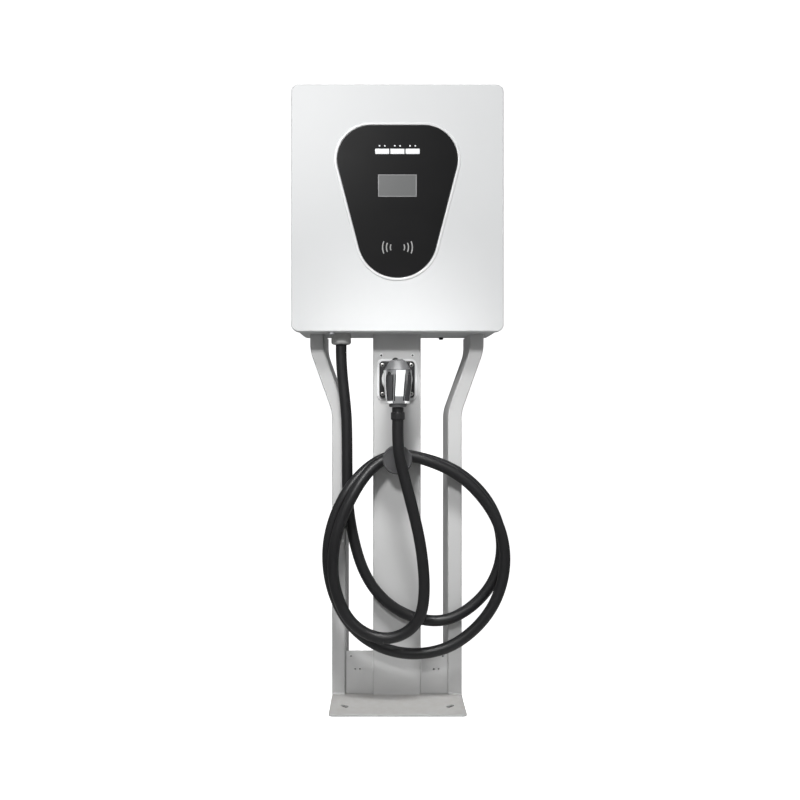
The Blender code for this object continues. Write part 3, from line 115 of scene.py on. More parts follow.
def mottleGroup():  # broad, faint changes of tone and gloss
    tree, given, result = newGroup(
        "mottle",
        [
            ("Colour", "Color", None), ("Scale", "Float", 12), ("Amount", "Float", 0.05),
            ("Gloss", "Float", 0.4)],
        [("Colour", "Color"), ("Roughness", "Float")])
    place = addNode(tree, "TexCoord")
    noise = addNode(
        tree, "TexNoise",
        {"Vector": place.outputs["Object"], "Scale": given.outputs["Scale"], "Detail": 5})
    centred = addNode(tree, "Math", {0: noise.outputs["Fac"], 1: 0.5}, operation="SUBTRACT")
    swing = addNode(
        tree, "Math", {0: centred.outputs[0], 1: given.outputs["Amount"]}, operation="MULTIPLY")
    value = addNode(tree, "Math", {0: swing.outputs[0], 1: 1.0}, operation="ADD")
    tone = addNode(tree, "HueSaturation", {"Color": given.outputs["Colour"], "Value": value.outputs[0]})
    rough = addNode(tree, "Math", {0: swing.outputs[0], 1: given.outputs["Gloss"]}, operation="ADD")
    tree.links.new(tone.outputs["Color"], result.inputs["Colour"])
    tree.links.new(rough.outputs[0], result.inputs["Roughness"])
    return tree


def dustGroup():  # settles on faces that look up, thickest near the floor
    tree, given, result = newGroup(
        "dust", [("Colour", "Color", None), ("Amount", "Float", 0.3)], [("Colour", "Color")])
    place = addNode(tree, "TexCoord")
    height = addNode(tree, "SeparateXYZ", {0: place.outputs["Object"]})
    low = addNode(
        tree, "MapRange", {"Value": height.outputs["Z"], "From Max": 0.25, "To Min": 1.0, "To Max": 0.0})
    facing = addNode(tree, "SeparateXYZ", {0: place.outputs["Normal"]})
    upward = addNode(tree, "MapRange", {"Value": facing.outputs["Z"], "From Min": 0.5})
    noise = addNode(tree, "TexNoise", {"Vector": place.outputs["Object"], "Scale": 60, "Detail": 6})
    patch = addNode(tree, "Math", {0: low.outputs[0], 1: noise.outputs["Fac"]}, operation="MULTIPLY")
    cover = addNode(tree, "Math", {0: patch.outputs[0], 1: upward.outputs[0]}, operation="MULTIPLY")
    share = addNode(tree, "Math", {0: cover.outputs[0], 1: given.outputs["Amount"]}, operation="MULTIPLY")
    mix = addNode(tree, "Mix", data_type="RGBA")
    tree.links.new(share.outputs[0], mix.inputs[0])
    tree.links.new(given.outputs["Colour"], mix.inputs[6])
    mix.inputs[7].default_value = (0.42, 0.38, 0.33, 1)
    tree.links.new(mix.outputs[2], result.inputs["Colour"])
    return tree


grain = grainGroup()
mottle = mottleGroup()
dust = dustGroup()

# Each finish: colour, roughness, grain scale and depth, amount of mottle, then what only some have.

finishes = {
    "cabinetPaint": ((0.8, 0.81, 0.815), 0.42, 700, 0.00004, 0.03, {"shine": 0.25}),
    "housingPaint": ((0.66, 0.67, 0.67), 0.5, 700, 0.00004, 0.05, {"dust": 0.2}),
    "pedestalPaint": ((0.62, 0.622, 0.62), 0.48, 650, 0.00005, 0.06, {"dust": 0.5}),
    "panelGloss": ((0.013, 0.013, 0.0135), 0.36, 1400, 0.000006, 0.15, {"shine": 0.06}),
    # near-black used only as painted shade: the gap round the display panel, the screw sockets and the
    # gun's grooves
    "panelEdge": ((0.004, 0.004, 0.004), 0.35, 1400, 0.000005, 0.1),
    "bezelWhite": ((0.88, 0.885, 0.89), 0.3, 1200, 0.00001, 0.03),
    "screenRim": ((0.28, 0.28, 0.285), 0.35, 900, 0.00001, 0.05),
    "rubber": ((0.01, 0.01, 0.011), 0.42, 500, 0.00005, 0.3),
    "sealRubber": ((0.016, 0.016, 0.016), 0.8, 900, 0.00008, 0.3),
    "blackPlastic": ((0.014, 0.014, 0.015), 0.42, 1300, 0.00004, 0.2),
    # dark plastic of the contactor, also used as painted shade in the foot's slots and in the cups behind
    # holes
    "darkPlastic": ((0.045, 0.045, 0.047), 0.5, 1300, 0.00005, 0.2),
    "discGrey": ((0.075, 0.075, 0.078), 0.5, 1300, 0.00005, 0.15),
    "glandGrey": ((0.5, 0.5, 0.49), 0.5, 1300, 0.00004, 0.08),
    "greyPlastic": ((0.17, 0.17, 0.17), 0.5, 1300, 0.00004, 0.1),
    "gunWhite": ((0.76, 0.765, 0.77), 0.38, 1300, 0.00002, 0.04),
    "gunGrey": ((0.125, 0.127, 0.13), 0.45, 1300, 0.00004, 0.1),
    "gripDark": ((0.03, 0.03, 0.032), 0.6, 1500, 0.00008, 0.2),
    "markGrey": ((0.42, 0.42, 0.42), 0.45, 1200, 0.00001, 0.1),
    "zinc": ((0.5, 0.51, 0.53), 0.42, 500, 0.00003, 0.25, {"metal": 0.9}),
    "steel": ((0.62, 0.62, 0.6), 0.28, 900, 0.00002, 0.12, {"metal": 1.0}),
    "brass": ((0.66, 0.5, 0.22), 0.3, 900, 0.00001, 0.1, {"metal": 1.0}),
    "copper": ((0.72, 0.35, 0.18), 0.35, 600, 0.00002, 0.2, {"metal": 1.0}),
    "aluminium": ((0.66, 0.67, 0.68), 0.38, 500, 0.00003, 0.15, {"metal": 0.9}),
    "boardGreen": ((0.015, 0.13, 0.05), 0.4, 400, 0.00003, 0.4),
    "chipBlack": ((0.02, 0.02, 0.02), 0.55, 1500, 0.00003, 0.2),
}


def newMaterial(name):
    made = bpy.data.materials.new(name)
    made.use_nodes = True
    return made, made.node_tree, made.node_tree.nodes["Principled BSDF"].inputs


def addGroup(tree, group, values):
    node = tree.nodes.new("ShaderNodeGroup")
    node.node_tree = group
    for title, value in values.items():
        node.inputs[title].default_value = value
    return node


def makeFinish(name, colour, rough, scale, depth, amount, extra=None):
    extra = extra or {}
    made, tree, inputs = newMaterial(name)
    tone = addGroup(tree, mottle, {"Colour": (*colour, 1), "Amount": amount, "Gloss": rough})
    colour = tone.outputs["Colour"]
    if "dust" in extra:
        cover = addGroup(tree, dust, {"Amount": extra["dust"]})
        tree.links.new(colour, cover.inputs["Colour"])
        colour = cover.outputs["Colour"]
    texture = addGroup(tree, grain, {"Scale": scale, "Depth": depth})
    tree.links.new(colour, inputs["Base Color"])
    tree.links.new(tone.outputs["Roughness"], inputs["Roughness"])
    tree.links.new(texture.outputs["Normal"], inputs["Normal"])
    inputs["Metallic"].default_value = extra.get("metal", 0)
    inputs["Specular IOR Level"].default_value = extra.get("shine", 0.5)
    return made


finish = {name: makeFinish(name, *values) for name, values in finishes.items()}


def screenFinish():  # switched-off display: faint cell grid under smooth glass
    made, tree, inputs = newMaterial("screenGlass")
    place = addNode(tree, "TexCoord")
    cells = addNode(tree, "TexBrick", {"Vector": place.outputs["Object"], "Scale": 400})
    cells.offset = 0
    for title, tone in (("Color1", 0.172), ("Color2", 0.180), ("Mortar", 0.165)):
        cells.inputs[title].default_value = (tone, tone + 0.004, tone + 0.004, 1)
    turn = addNode(tree, "Mapping", {"Vector": place.outputs["Object"], "Rotation": (math.pi / 2, 0, 0)})
    tree.links.new(turn.outputs["Vector"], cells.inputs["Vector"])
    tree.links.new(cells.outputs["Color"], inputs["Base Color"])
    inputs["Roughness"].default_value = 0.22
    return made


def lampFinish():  # status light: milky lens with a faintly uneven glow
    made, tree, inputs = newMaterial("lampLens")
    place = addNode(tree, "TexCoord")
    noise = addNode(tree, "TexNoise", {"Vector": place.outputs["Object"], "Scale": 250})
    glow = addNode(tree, "MapRange", {"Value": noise.outputs["Fac"], "To Min": 0.22, "To Max": 0.32})
    tree.links.new(glow.outputs[0], inputs["Emission Strength"])
    inputs["Base Color"].default_value = (0.86, 0.87, 0.88, 1)
    inputs["Emission Color"].default_value = (0.95, 0.98, 1.0, 1)
    inputs["Roughness"].default_value = 0.35
    return made


finish["screenGlass"] = screenFinish()
finish["lampLens"] = lampFinish()
print("materials ready")

# Modelling helpers. Outlines are lists of (across, up) points in one plane.


def onPlane(across, up, level, axis):
    return {"X": (level, across, up), "Y": (across, level, up), "Z": (across, up, level)}[axis]


def arc(middle, radius, first, last, count):
    angles = [math.radians(first + (last - first) * i / (count - 1)) for i in range(count)]
    return [(middle[0] + radius * math.cos(a), middle[1] + radius * math.sin(a)) for a in angles]


def circle(middle, radius, count=48):
    return arc(middle, radius, 0, 360 - 360 / count, count)


def roundedRectangle(width, height, corner, middle=(0, 0), count=10):
    across = width / 2 - corner
    up = height / 2 - corner
    points = []
    for side, rise, first in ((1, 1, 0), (-1, 1, 90), (-1, -1, 180), (1, -1, 270)):
        points += arc(
            (middle[0] + side * across, middle[1] + rise * up), corner, first, first + 90, count)
    return points


def obround(length, width, middle, degrees, count=10):
    half = (length - width) / 2
    turn = math.radians(degrees)
    points = arc((half, 0), width / 2, -90, 90, count) + arc((-half, 0), width / 2, 90, 270, count)
    return [
        (
            middle[0] + a * math.cos(turn) - b * math.sin(turn),
            middle[1] + a * math.sin(turn) + b * math.cos(turn))
        for a, b in points]


def drawLoop(shape, points):
    corners = [shape.verts.new(point) for point in points]
    return [shape.edges.new(pair) for pair in zip(corners, corners[1:] + corners[:1])]


def shadeShape(mesh, sharp=32):
    mesh.shade_smooth()
    mesh.set_sharp_from_angle(angle=math.radians(sharp))


def meshItem(name, shape):
    mesh = bpy.data.meshes.new(name)
    shape.to_mesh(mesh)
    shape.free()
    item = bpy.data.objects.new(name, mesh)
    scene.collection.objects.link(item)
    return item


def makePiece(name, shape, look, body="post", stands=(), sharp=32, weighted=False):
    bmesh.ops.recalc_face_normals(shape, faces=shape.faces)
    item = meshItem(name, shape)
    for title in ([look] if isinstance(look, str) else look):
        item.data.materials.append(finish[title])
    shadeShape(item.data, sharp)
    if weighted:
        item.modifiers.new("weights", "WEIGHTED_NORMAL").keep_sharp = True
    if body:
        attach(item, body)
    if stands:
        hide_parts(*stands)
    return item


def bevelLines(shape, lines, edge, segments, clamp):
    bmesh.ops.bevel(
        shape, geom=lines, offset=edge, segments=segments, profile=0.5, affect="EDGES",
        clamp_overlap=clamp, material=-1)


def addPlate(shape, outlines, low, high, axis="Y", edge=0, segments=3, sides="low"):
    edges = []
    for outline in outlines:
        edges += drawLoop(shape, [onPlane(a, b, low, axis) for a, b in outline])
    filled = bmesh.ops.triangle_fill(shape, use_beauty=True, edges=edges)["geom"]
    faces = [face for face in filled if isinstance(face, bmesh.types.BMFace)]
    grown = bmesh.ops.extrude_face_region(shape, geom=faces, use_keep_orig=True)["geom"]
    moved = [corner for corner in grown if isinstance(corner, bmesh.types.BMVert)]
    bmesh.ops.translate(shape, verts=moved, vec=onPlane(0, 0, high - low, axis))
    if not edge:
        return
    index = "XYZ".index(axis)
    bmesh.ops.recalc_face_normals(shape, faces=shape.faces)
    rims = []
    levels = {"low": (low,), "high": (high,), "both": (low, high)}[sides]
    for line in shape.edges:
        flat = any(all(abs(corner.co[index] - level) < 1e-6 for corner in line.verts) for level in levels)
        if flat and len(line.link_faces) == 2 and line.calc_face_angle() > 0.6:
            rims.append(line)
    bevelLines(shape, rims, edge, segments, False)


def addBox(shape, low, high, edge=0, segments=2):
    low = Vector(low)
    high = Vector(high)
    made = bmesh.ops.create_cube(
        shape, size=1, matrix=Matrix.Translation((low + high) / 2) @ Matrix.Diagonal((*(high - low), 1)))
    if edge:
        lines = {line for corner in made["verts"] for line in corner.link_edges}
        bevelLines(shape, list(lines), edge, segments, True)


def addTurned(shape, profile, place, direction=(0, 0, 1), steps=48):  # profile: (radius, height)
    frameTurn = Vector(direction).to_track_quat("Z", "Y").to_matrix().to_4x4()
    frameTurn = Matrix.Translation(place) @ frameTurn
    corners = [
        shape.verts.new(frameTurn @ Vector((max(radius, 1e-5), 0, height))) for radius, height in profile]
    lines = [shape.edges.new(pair) for pair in zip(corners, corners[1:])]
    bmesh.ops.spin(
        shape, geom=corners + lines, cent=place, axis=frameTurn.to_3x3() @ Vector((0, 0, 1)),
        dvec=(0, 0, 0), angle=2 * math.pi, steps=steps, use_merge=True, use_duplicate=False)
    for ends in (profile[0], profile[-1]):
        if ends[0] < 2e-5:
            tip = frameTurn @ Vector((0, 0, ends[1]))
            near = [corner for corner in shape.verts if (corner.co - tip).length < 5e-5]
            bmesh.ops.pointmerge(shape, verts=near, merge_co=tip)


def addStack(shape, rings, capped=True):  # joins loops of equally many points, one after another
    loops = [drawLoop(shape, ring) for ring in rings]
    for first, second in zip(loops, loops[1:]):
        bmesh.ops.bridge_loops(shape, edges=first + second)
    if capped:
        for loop in (loops[0], loops[-1]):
            bmesh.ops.contextual_create(shape, geom=loop)


def carve(item, *shapes, operation="DIFFERENCE", sharp=32):
    tools = []
    for shape in shapes:
        bmesh.ops.recalc_face_normals(shape, faces=shape.faces)
        tool = meshItem("tool", shape)
        change = item.modifiers.new("carve", "BOOLEAN")
        change.operation = operation
        change.solver = "EXACT"
        change.object = tool
        tools.append(tool)
    bpy.context.view_layer.update()
    mesh = bpy.data.meshes.new_from_object(item.evaluated_get(bpy.context.evaluated_depsgraph_get()))
    item.modifiers.clear()
    old = item.data
    item.data = mesh
    bpy.data.meshes.remove(old)
    for tool in tools:
        old = tool.data
        bpy.data.objects.remove(tool)
        bpy.data.meshes.remove(old)
    shadeShape(mesh, sharp)
    item.modifiers.new("weights", "WEIGHTED_NORMAL").keep_sharp = True
    return item


def plateShape(outlines, low, high, axis="Y", **facts):
    shape = bmesh.new()
    addPlate(shape, outlines, low, high, axis, **facts)
    return shape


def boxShape(low, high, edge=0):
    shape = bmesh.new()
    addBox(shape, low, high, edge)
    return shape


def rodShape(radius, start, end, steps=32):
    shape = bmesh.new()
    run = Vector(end) - Vector(start)
    addTurned(
        shape, [(0, 0), (radius, 0), (radius, run.length), (0, run.length)], Vector(start), run, steps)
    return shape


# Charging cable, in two lengths that meet at the bottom of the last loop.

cableSettings = {
    "diameter": 0.0275, "step": 0.006, "sides": 24,
    "route": [
        (-0.1415, -0.0155, 0.8968), (-0.1415, -0.0155, 0.878), (-0.14, -0.0158, 0.84),
        (-0.1355, -0.0163, 0.79), (-0.129, -0.0172, 0.725), (-0.1265, -0.018, 0.65),
        (-0.126, -0.0182, 0.57), (-0.1225, -0.0184, 0.485), (-0.108, -0.0186, 0.4),
        (-0.079, -0.0188, 0.315), (-0.028, -0.019, 0.248), (0.048, -0.019, 0.206), (0.12, -0.019, 0.201),
        (0.188, -0.019, 0.235), (0.237, -0.019, 0.29), (0.262, -0.019, 0.36), (0.259, -0.019, 0.43),
        (0.233, -0.019, 0.495), (0.187, -0.019, 0.55), (0.13, -0.019, 0.588), (0.062, -0.019, 0.611),
        (0.0, -0.019, 0.618), (-0.048, -0.0215, 0.603), (-0.09, -0.034, 0.572), (-0.126, -0.0475, 0.527),
        (-0.156, -0.05, 0.465), (-0.172, -0.05, 0.395), (-0.17, -0.05, 0.325), (-0.15, -0.05, 0.255),
        (-0.113, -0.05, 0.195), (-0.06, -0.05, 0.152), (0.0, -0.05, 0.13), (0.064, -0.05, 0.127),
        (0.13, -0.05, 0.144), (0.19, -0.05, 0.185), (0.236, -0.05, 0.242), (0.262, -0.05, 0.31),
        (0.267, -0.05, 0.38), (0.248, -0.05, 0.455), (0.206, -0.05, 0.52), (0.148, -0.05, 0.572),
        (0.074, -0.05, 0.606), (0.0, -0.05, 0.618), (-0.042, -0.0515, 0.603), (-0.08, -0.064, 0.568),
        (-0.112, -0.076, 0.518), (-0.14, -0.0805, 0.455), (-0.156, -0.0815, 0.385),
        (-0.156, -0.082, 0.32), (-0.14, -0.083, 0.26), (-0.114, -0.085, 0.217), (-0.079, -0.0875, 0.1895),
        (-0.0322, -0.0905, 0.177), (0.0153, -0.094, 0.1897), (0.0501, -0.097, 0.2245),
        (0.0628, -0.1, 0.272), (0.064, -0.1025, 0.318), (0.06, -0.1055, 0.37), (0.049, -0.1095, 0.438),
        (0.033, -0.114, 0.505), (0.015, -0.118, 0.575), (0.0024, -0.1233, 0.635), (0.0, -0.1243, 0.672),
        (0.0, -0.1243, 0.7091)]}


def splineRoute(points, step):  # natural cubic spline through the points
    knots = np.array(points)
    spans = np.linalg.norm(np.diff(knots, axis=0), axis=1)
    where = np.concatenate([[0], np.cumsum(spans)])
    count = len(knots)
    system = np.eye(count)
    target = np.zeros((count, 3))
    for i in range(1, count - 1):
        system[i, i - 1:i + 2] = spans[i - 1], 2 * (spans[i - 1] + spans[i]), spans[i]
        target[i] = 6 * ((knots[i + 1] - knots[i]) / spans[i] - (knots[i] - knots[i - 1]) / spans[i - 1])
    bend = np.linalg.solve(system, target)
    route = []
    for place in np.linspace(0, where[-1], round(where[-1] / step) + 1):
        i = min(int(np.searchsorted(where, place, side="right")) - 1, count - 2)
        ahead = (place - where[i]) / spans[i]
        back = 1 - ahead
        lift = (back ** 3 - back) * bend[i] + (ahead ** 3 - ahead) * bend[i + 1]
        route.append(Vector(back * knots[i] + ahead * knots[i + 1] + lift * spans[i] ** 2 / 6))
    return route


def addTube(shape, path, radius, sides, closed=False):
    tangents = []
    for i, point in enumerate(path):
        before = path[i - 1] if i or closed else point
        after = path[(i + 1) % len(path)] if i < len(path) - 1 or closed else point
        tangents.append((after - before).normalized())
    across = tangents[0].orthogonal().normalized()
    rings = []
    for point, tangent in zip(path, tangents):
        across = (across - tangent * across.dot(tangent)).normalized()
        other = tangent.cross(across)
        angles = [2 * math.pi * k / sides for k in range(sides)]
        rings.append([point + radius * (math.cos(a) * across + math.sin(a) * other) for a in angles])
    if closed:
        rings.append(rings[0])
    corners = [[shape.verts.new(place) for place in ring] for ring in (rings[:-1] if closed else rings)]
    if closed:
        corners.append(corners[0])
    for first, second in zip(corners, corners[1:]):
        for k in range(sides):
            n = (k + 1) % sides
            shape.faces.new((first[k], first[n], second[n], second[k]))
    if not closed:
        shape.faces.new(corners[0])
        shape.faces.new(corners[-1])


def pathLength(path):
    return sum((b - a).length for a, b in zip(path, path[1:]))


def addCables(settings):
    route = splineRoute(settings["route"], settings["step"])
    turning = min(range(len(route) * 2 // 3, len(route)), key=lambda i: route[i].z)
    for name, path in (("cableLoops", route[:turning + 1]), ("cableToGun", route[turning:])):
        shape = bmesh.new()
        addTube(shape, path, settings["diameter"] / 2, settings["sides"])
        first = name == "cableLoops"
        item = makePiece(
            name, shape, "rubber", "post" if first else None, ("charging_cable",), 60)
        if not first:
            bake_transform(item)
        print(name, round(pathLength(path), 3))


addCables(cableSettings)
print("cables made")

# Front door.

doorLow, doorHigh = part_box("front_door")
doorSettings = {
    "corner": 0.018, "edge": 0.0035, "wall": 0.0025, "return": 0.020, "lip": 0.002, "fold": 0.004,
    "lockHole": 0.0073}
notchSettings = {"side": 0.003, "open": 0.05, "lift": 0.0123, "over": 0.005}
panelSettings = {
    "drop": 0.185, "spread": 0.130, "upper": 0.0835, "lower": 0.098, "lowerDrop": 0.193,
    "thickness": 0.004, "bezel": 0.007, "bezelProud": 0.002, "line": 0.0016, "window": (0.0956, 0.0556),
    "windowDrop": 0.065}
ledSettings = {"pitch": 0.0374, "side": 0.00655, "rise": 0.0327, "hole": 0.0022, "lens": 0.0020}
lampTitles = ("left", "middle", "right")
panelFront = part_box("display_panel")[0].y
panelTop = doorHigh.z - panelSettings["drop"]


def panelOutline(grow, count=14):
    upper = panelSettings["upper"] + grow
    lower = panelSettings["lower"] + grow
    half = panelSettings["spread"] / 2
    reach = math.hypot(half, panelSettings["lowerDrop"])
    bearing = math.degrees(math.atan2(panelSettings["lowerDrop"], half))
    side = bearing - math.degrees(math.acos((lower - upper) / reach))
    points = arc((half, panelTop), upper, side, 90, count)
    points += arc((-half, panelTop), upper, 90, 180 - side, count)
    points += arc((0, panelTop - panelSettings["lowerDrop"]), lower, 180 - side, 360 + side, 2 * count)
    return points


def cabinetOutline(width, inset, corner):
    middle = (0, (doorLow.z + doorHigh.z) / 2)
    height = doorHigh.z - doorLow.z
    return roundedRectangle(width - 2 * inset, height - 2 * inset, max(corner - inset, 0.004), middle, 12)


def middleOf(node):
    return sum(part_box(node), Vector()) / 2


def hookNotch(first, last):  # room for the lock's hook, open to the right
    low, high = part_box("lock_hook")
    settings = notchSettings
    start = (low.x - settings["side"], first, doorLow.z + settings["lift"])
    return boxShape(start, (low.x + settings["open"], last, high.z + settings["over"]))


def dropShape(radius, place, level):  # upright rod that cuts a hole in a lower wall
    return rodShape(radius, (place.x, place.y, level - beyond), (place.x, place.y, level + beyond))


def addDoor(settings):
    width = doorHigh.x - doorLow.x
    wall = settings["wall"]
    back = doorHigh.y
    shape = plateShape(
        [cabinetOutline(width, 0, settings["corner"])], doorLow.y, back, edge=settings["edge"],
        segments=6)
    item = makePiece("door", shape, "cabinetPaint", "door", ("front_door",))
    carve(
        item,
        plateShape(
            [cabinetOutline(width, wall, settings["corner"])], doorLow.y + wall, back - settings["lip"]),
        plateShape(
            [cabinetOutline(width, settings["return"], settings["corner"])], back - settings["fold"],
            back + beyond),
        plateShape([panelOutline(fit)], doorLow.y - beyond, doorLow.y + beyond),
        dropShape(settings["lockHole"], middleOf("lock_barrel"), doorLow.z),
        hookNotch(back - 0.005, back + 0.003))


addDoor(doorSettings)

sealSettings = {"outer": 0.004, "inner": 0.012, "corner": 0.016, "edge": 0.0007}


def addSeal(settings):
    low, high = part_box("door_seal")
    width = high.x - low.x + 2 * settings["outer"]
    outlines = [
        cabinetOutline(width, settings[title], settings["corner"]) for title in ("outer", "inner")]
    shape = plateShape(outlines, low.y, high.y, edge=settings["edge"], segments=3, sides="both")
    makePiece("doorSeal", shape, "sealRubber", "door", ("door_seal",))


addSeal(sealSettings)
print("door made")

# Display panel, its bezel, screen, lights and reader mark.


def addPanel(settings):
    back = doorLow.y - fit
    proud = back - settings["bezelProud"] + fit
    shape = plateShape(
        [panelOutline(settings["bezel"]), panelOutline(2 * fit)], proud, back, edge=0.0013, segments=4)
    makePiece("panelBezel", shape, "bezelWhite", "door", ("panel_bezel",))
    # thin black ring inside the panel's outline: painted shade standing in for the gap between panel and
    # bezel
    shape = plateShape(
        [panelOutline(-0.0002), panelOutline(-settings["line"])], panelFront - 0.0001, panelFront + 0.002,
        edge=0.0004)
    makePiece("panelGapShade", shape, "panelEdge", "door")


def ledPlaces(settings):
    across = [
        lamp * settings["pitch"] + side * settings["side"] for lamp in (-1, 0, 1) for side in (-1, 1)]
    return [(place, panelTop + settings["rise"]) for place in across]


def panelCutouts(settings):
    outlines = [roundedRectangle(*settings["window"], 0.0012, (0, panelTop - settings["windowDrop"]), 4)]
    for title in lampTitles:
        low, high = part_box("status_light_" + title)
        middle = ((low.x + high.x) / 2, (low.z + high.z) / 2)
        outlines.append(
            roundedRectangle(high.x - low.x + 2 * fit, high.z - low.z + 2 * fit, 0.0008, middle, 4))
    return outlines + [circle(place, ledSettings["hole"], 24) for place in ledPlaces(ledSettings)]


def addFace(settings):
    shape = plateShape(
        [panelOutline(-settings["line"])] + panelCutouts(settings), panelFront,
        panelFront + settings["thickness"])
    makePiece("panelFace", shape, "panelGloss", "door", ("display_panel",))


addPanel(panelSettings)
addFace(panelSettings)

screenSettings = {"width": 0.095, "height": 0.055, "rim": 0.0024, "sunk": 0.0004}


def addScreen(settings):
    middle = (0, panelTop - panelSettings["windowDrop"])
    rim = settings["rim"]
    front = panelFront + settings["sunk"]
    low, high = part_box("lcd_module")
    shape = bmesh.new()
    outer = roundedRectangle(settings["width"], settings["height"], 0.001, middle, 4)
    inner = roundedRectangle(settings["width"] - 2 * rim, settings["height"] - 2 * rim, 0.0008, middle, 4)
    addPlate(shape, [outer, inner], front, front + 0.0035, edge=0.0002, segments=2)
    addBox(shape, (low.x, panelFront + 0.0043, low.z), (high.x, high.y, high.z), 0.0008)
    makePiece("screenFrame", shape, "screenRim", "door", ("lcd_module",))
    shape = plateShape([inner], front + 0.0001, front + 0.0033)
    makePiece("screenGlass", shape, "screenGlass", "door")


addScreen(screenSettings)


def addLights(settings):
    for title in lampTitles:
        low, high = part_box("status_light_" + title)
        shape = boxShape(low, high, 0.0007)
        makePiece(
            "lamp_" + title, shape, "lampLens", "door", ("status_light_" + title,))
    low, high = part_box("led_light_guide")
    shape = boxShape((low.x, panelFront + 0.0044, low.z), high, 0.0004)
    radius = settings["lens"]
    for across, up in ledPlaces(settings):
        profile = [(radius, 0), (radius, -0.0040), (radius - 0.0004, -0.0044), (0, -0.0045)]
        addTurned(shape, profile, (across, panelFront + 0.0047, up), (0, 1, 0), 20)
    makePiece("ledGuide", shape, "lampLens", "door", ("led_light_guide",))


addLights(ledSettings)

markSettings = {"place": (0, 1.1314), "radii": (0.0175, 0.0270, 0.0365), "half": 24, "line": 0.0027}


def addMark(settings):  # reader mark: three waves to each side
    shape = bmesh.new()
    front = panelFront - 0.00008
    for radius in settings["radii"]:
        for bearing in (0, 180):
            first = bearing - settings["half"]
            last = bearing + settings["half"]
            outer = arc(settings["place"], radius + settings["line"] / 2, first, last, 14)
            inner = arc(settings["place"], radius - settings["line"] / 2, last, first, 14)
            addPlate(shape, [outer + inner], front, panelFront + 0.0005)
    makePiece("readerMark", shape, "markGrey", "door")


addMark(markSettings)
print("panel made")

# Rear housing.

housingLow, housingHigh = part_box("rear_housing")
housingSettings = {
    "corner": 0.016, "edge": 0.002, "wall": 0.0025, "flange": 0.014, "ventLength": 0.090,
    "ventWidth": 0.004, "ventPitch": 0.012, "ventCount": 6, "fans": ((0.039, 1.080), (0.039, 1.195)),
    "glandHole": 0.0183, "breatherHole": 0.0045}


def addHousing(settings):
    width = housingHigh.x - housingLow.x
    wall = settings["wall"]
    front = housingLow.y
    shape = plateShape(
        [cabinetOutline(width, 0, settings["corner"])], front, housingHigh.y, edge=settings["edge"],
        segments=4, sides="high")
    item = makePiece("housing", shape, "housingPaint", "post", ("rear_housing",))
    vents = bmesh.new()
    for middle, rise in settings["fans"]:
        for i in range(settings["ventCount"]):
            place = (middle, rise + (i - (settings["ventCount"] - 1) / 2) * settings["ventPitch"])
            slot = obround(settings["ventLength"], settings["ventWidth"], place, 0, 6)
            addPlate(vents, [slot], housingLow.x - beyond, housingHigh.x + beyond, "X")
    carve(
        item,
        plateShape([cabinetOutline(width, wall, settings["corner"])], front + wall, housingHigh.y - wall),
        plateShape(
            [cabinetOutline(width, settings["flange"], settings["corner"])], front - beyond,
            front + beyond),
        vents,
        dropShape(settings["glandHole"], middleOf("gland_body"), housingLow.z),
        dropShape(settings["breatherHole"], middleOf("breather_plug"), housingLow.z),
        hookNotch(front - 0.001, front + 0.005))


addHousing(housingSettings)
print("housing made")

# Pedestal: foot, two cranked columns, centre post.

footLow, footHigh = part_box("foot_plate")
footSettings = {
    "corner": 0.010, "edge": 0.0009, "slotLength": 0.024, "slotWidth": 0.010, "insetX": 0.036,
    "insetY": 0.052, "postSide": 0.061, "slotShadeGap": 0.0006}


def addFoot(settings):
    middle = (0, (footLow.y + footHigh.y) / 2)
    outlines = [
        roundedRectangle(footHigh.x - footLow.x, footHigh.y - footLow.y, settings["corner"], middle)]
    length, width, gap = settings["slotLength"], settings["slotWidth"], settings["slotShadeGap"]
    # dark pads in the front slots: painted shade for the floor seen through them
    slotShade = bmesh.new()
    for side in (-1, 1):
        front = (side * (footHigh.x - settings["insetX"]), footLow.y + settings["insetY"])
        rear = (side * (settings["postSide"] + settings["insetX"]), footHigh.y - settings["insetY"])
        outlines += [obround(length, width, front, side * 40), obround(length, width, rear, 0)]
        addPlate(slotShade, [obround(length - gap, width - gap, front, side * 40)], 0.0002, 0.0014, "Z")
    shape = plateShape(outlines, 0, footHigh.z, "Z", edge=settings["edge"], segments=3, sides="high")
    makePiece("foot", shape, "pedestalPaint", "post", ("foot_plate",), weighted=True)
    makePiece("slotShadePads", slotShade, "darkPlastic", "post")


addFoot(footSettings)

columnSettings = {
    "width": 0.036, "depth": 0.160, "sheet": 0.0025, "bend": 0.0035, "low": 0.166, "high": 0.222,
    "crank": (0.726, 0.882), "ease": 0.018}


def channelOutline(outer, inner, depth, sheet, bend):  # U section, open at the back
    step = 1 if outer > inner else -1
    points = [(inner, depth), (inner + step * sheet, depth)]
    near = arc((inner + step * bend, bend), bend - sheet, 180 if step > 0 else 0, 270, 6)
    far = arc((outer - step * bend, bend), bend - sheet, 270, 360 if step > 0 else 180, 6)
    points += near + far
    points += [(outer - step * sheet, depth), (outer, depth)]
    points += arc((outer - step * bend, bend), bend, 360 if step > 0 else 180, 270, 8)
    points += arc((inner + step * bend, bend), bend, 270, 180 if step > 0 else 0, 8)
    return points


def crankStations(settings, bottom, top):
    low, high = settings["low"], settings["high"]
    lowZ, highZ = settings["crank"]
    slope = Vector((high - low, highZ - lowZ)).normalized() * settings["ease"]
    stations = [(low, bottom)]
    for corner, before, after in (
            (Vector((low, lowZ)), Vector((0, -settings["ease"])), slope),
            (Vector((high, highZ)), -slope, Vector((0, settings["ease"])))):
        for i in range(9):
            share = i / 8
            first = (corner + before).lerp(corner, share)
            last = corner.lerp(corner + after, share)
            stations.append(tuple(first.lerp(last, share)))
    return stations + [(high, top)]


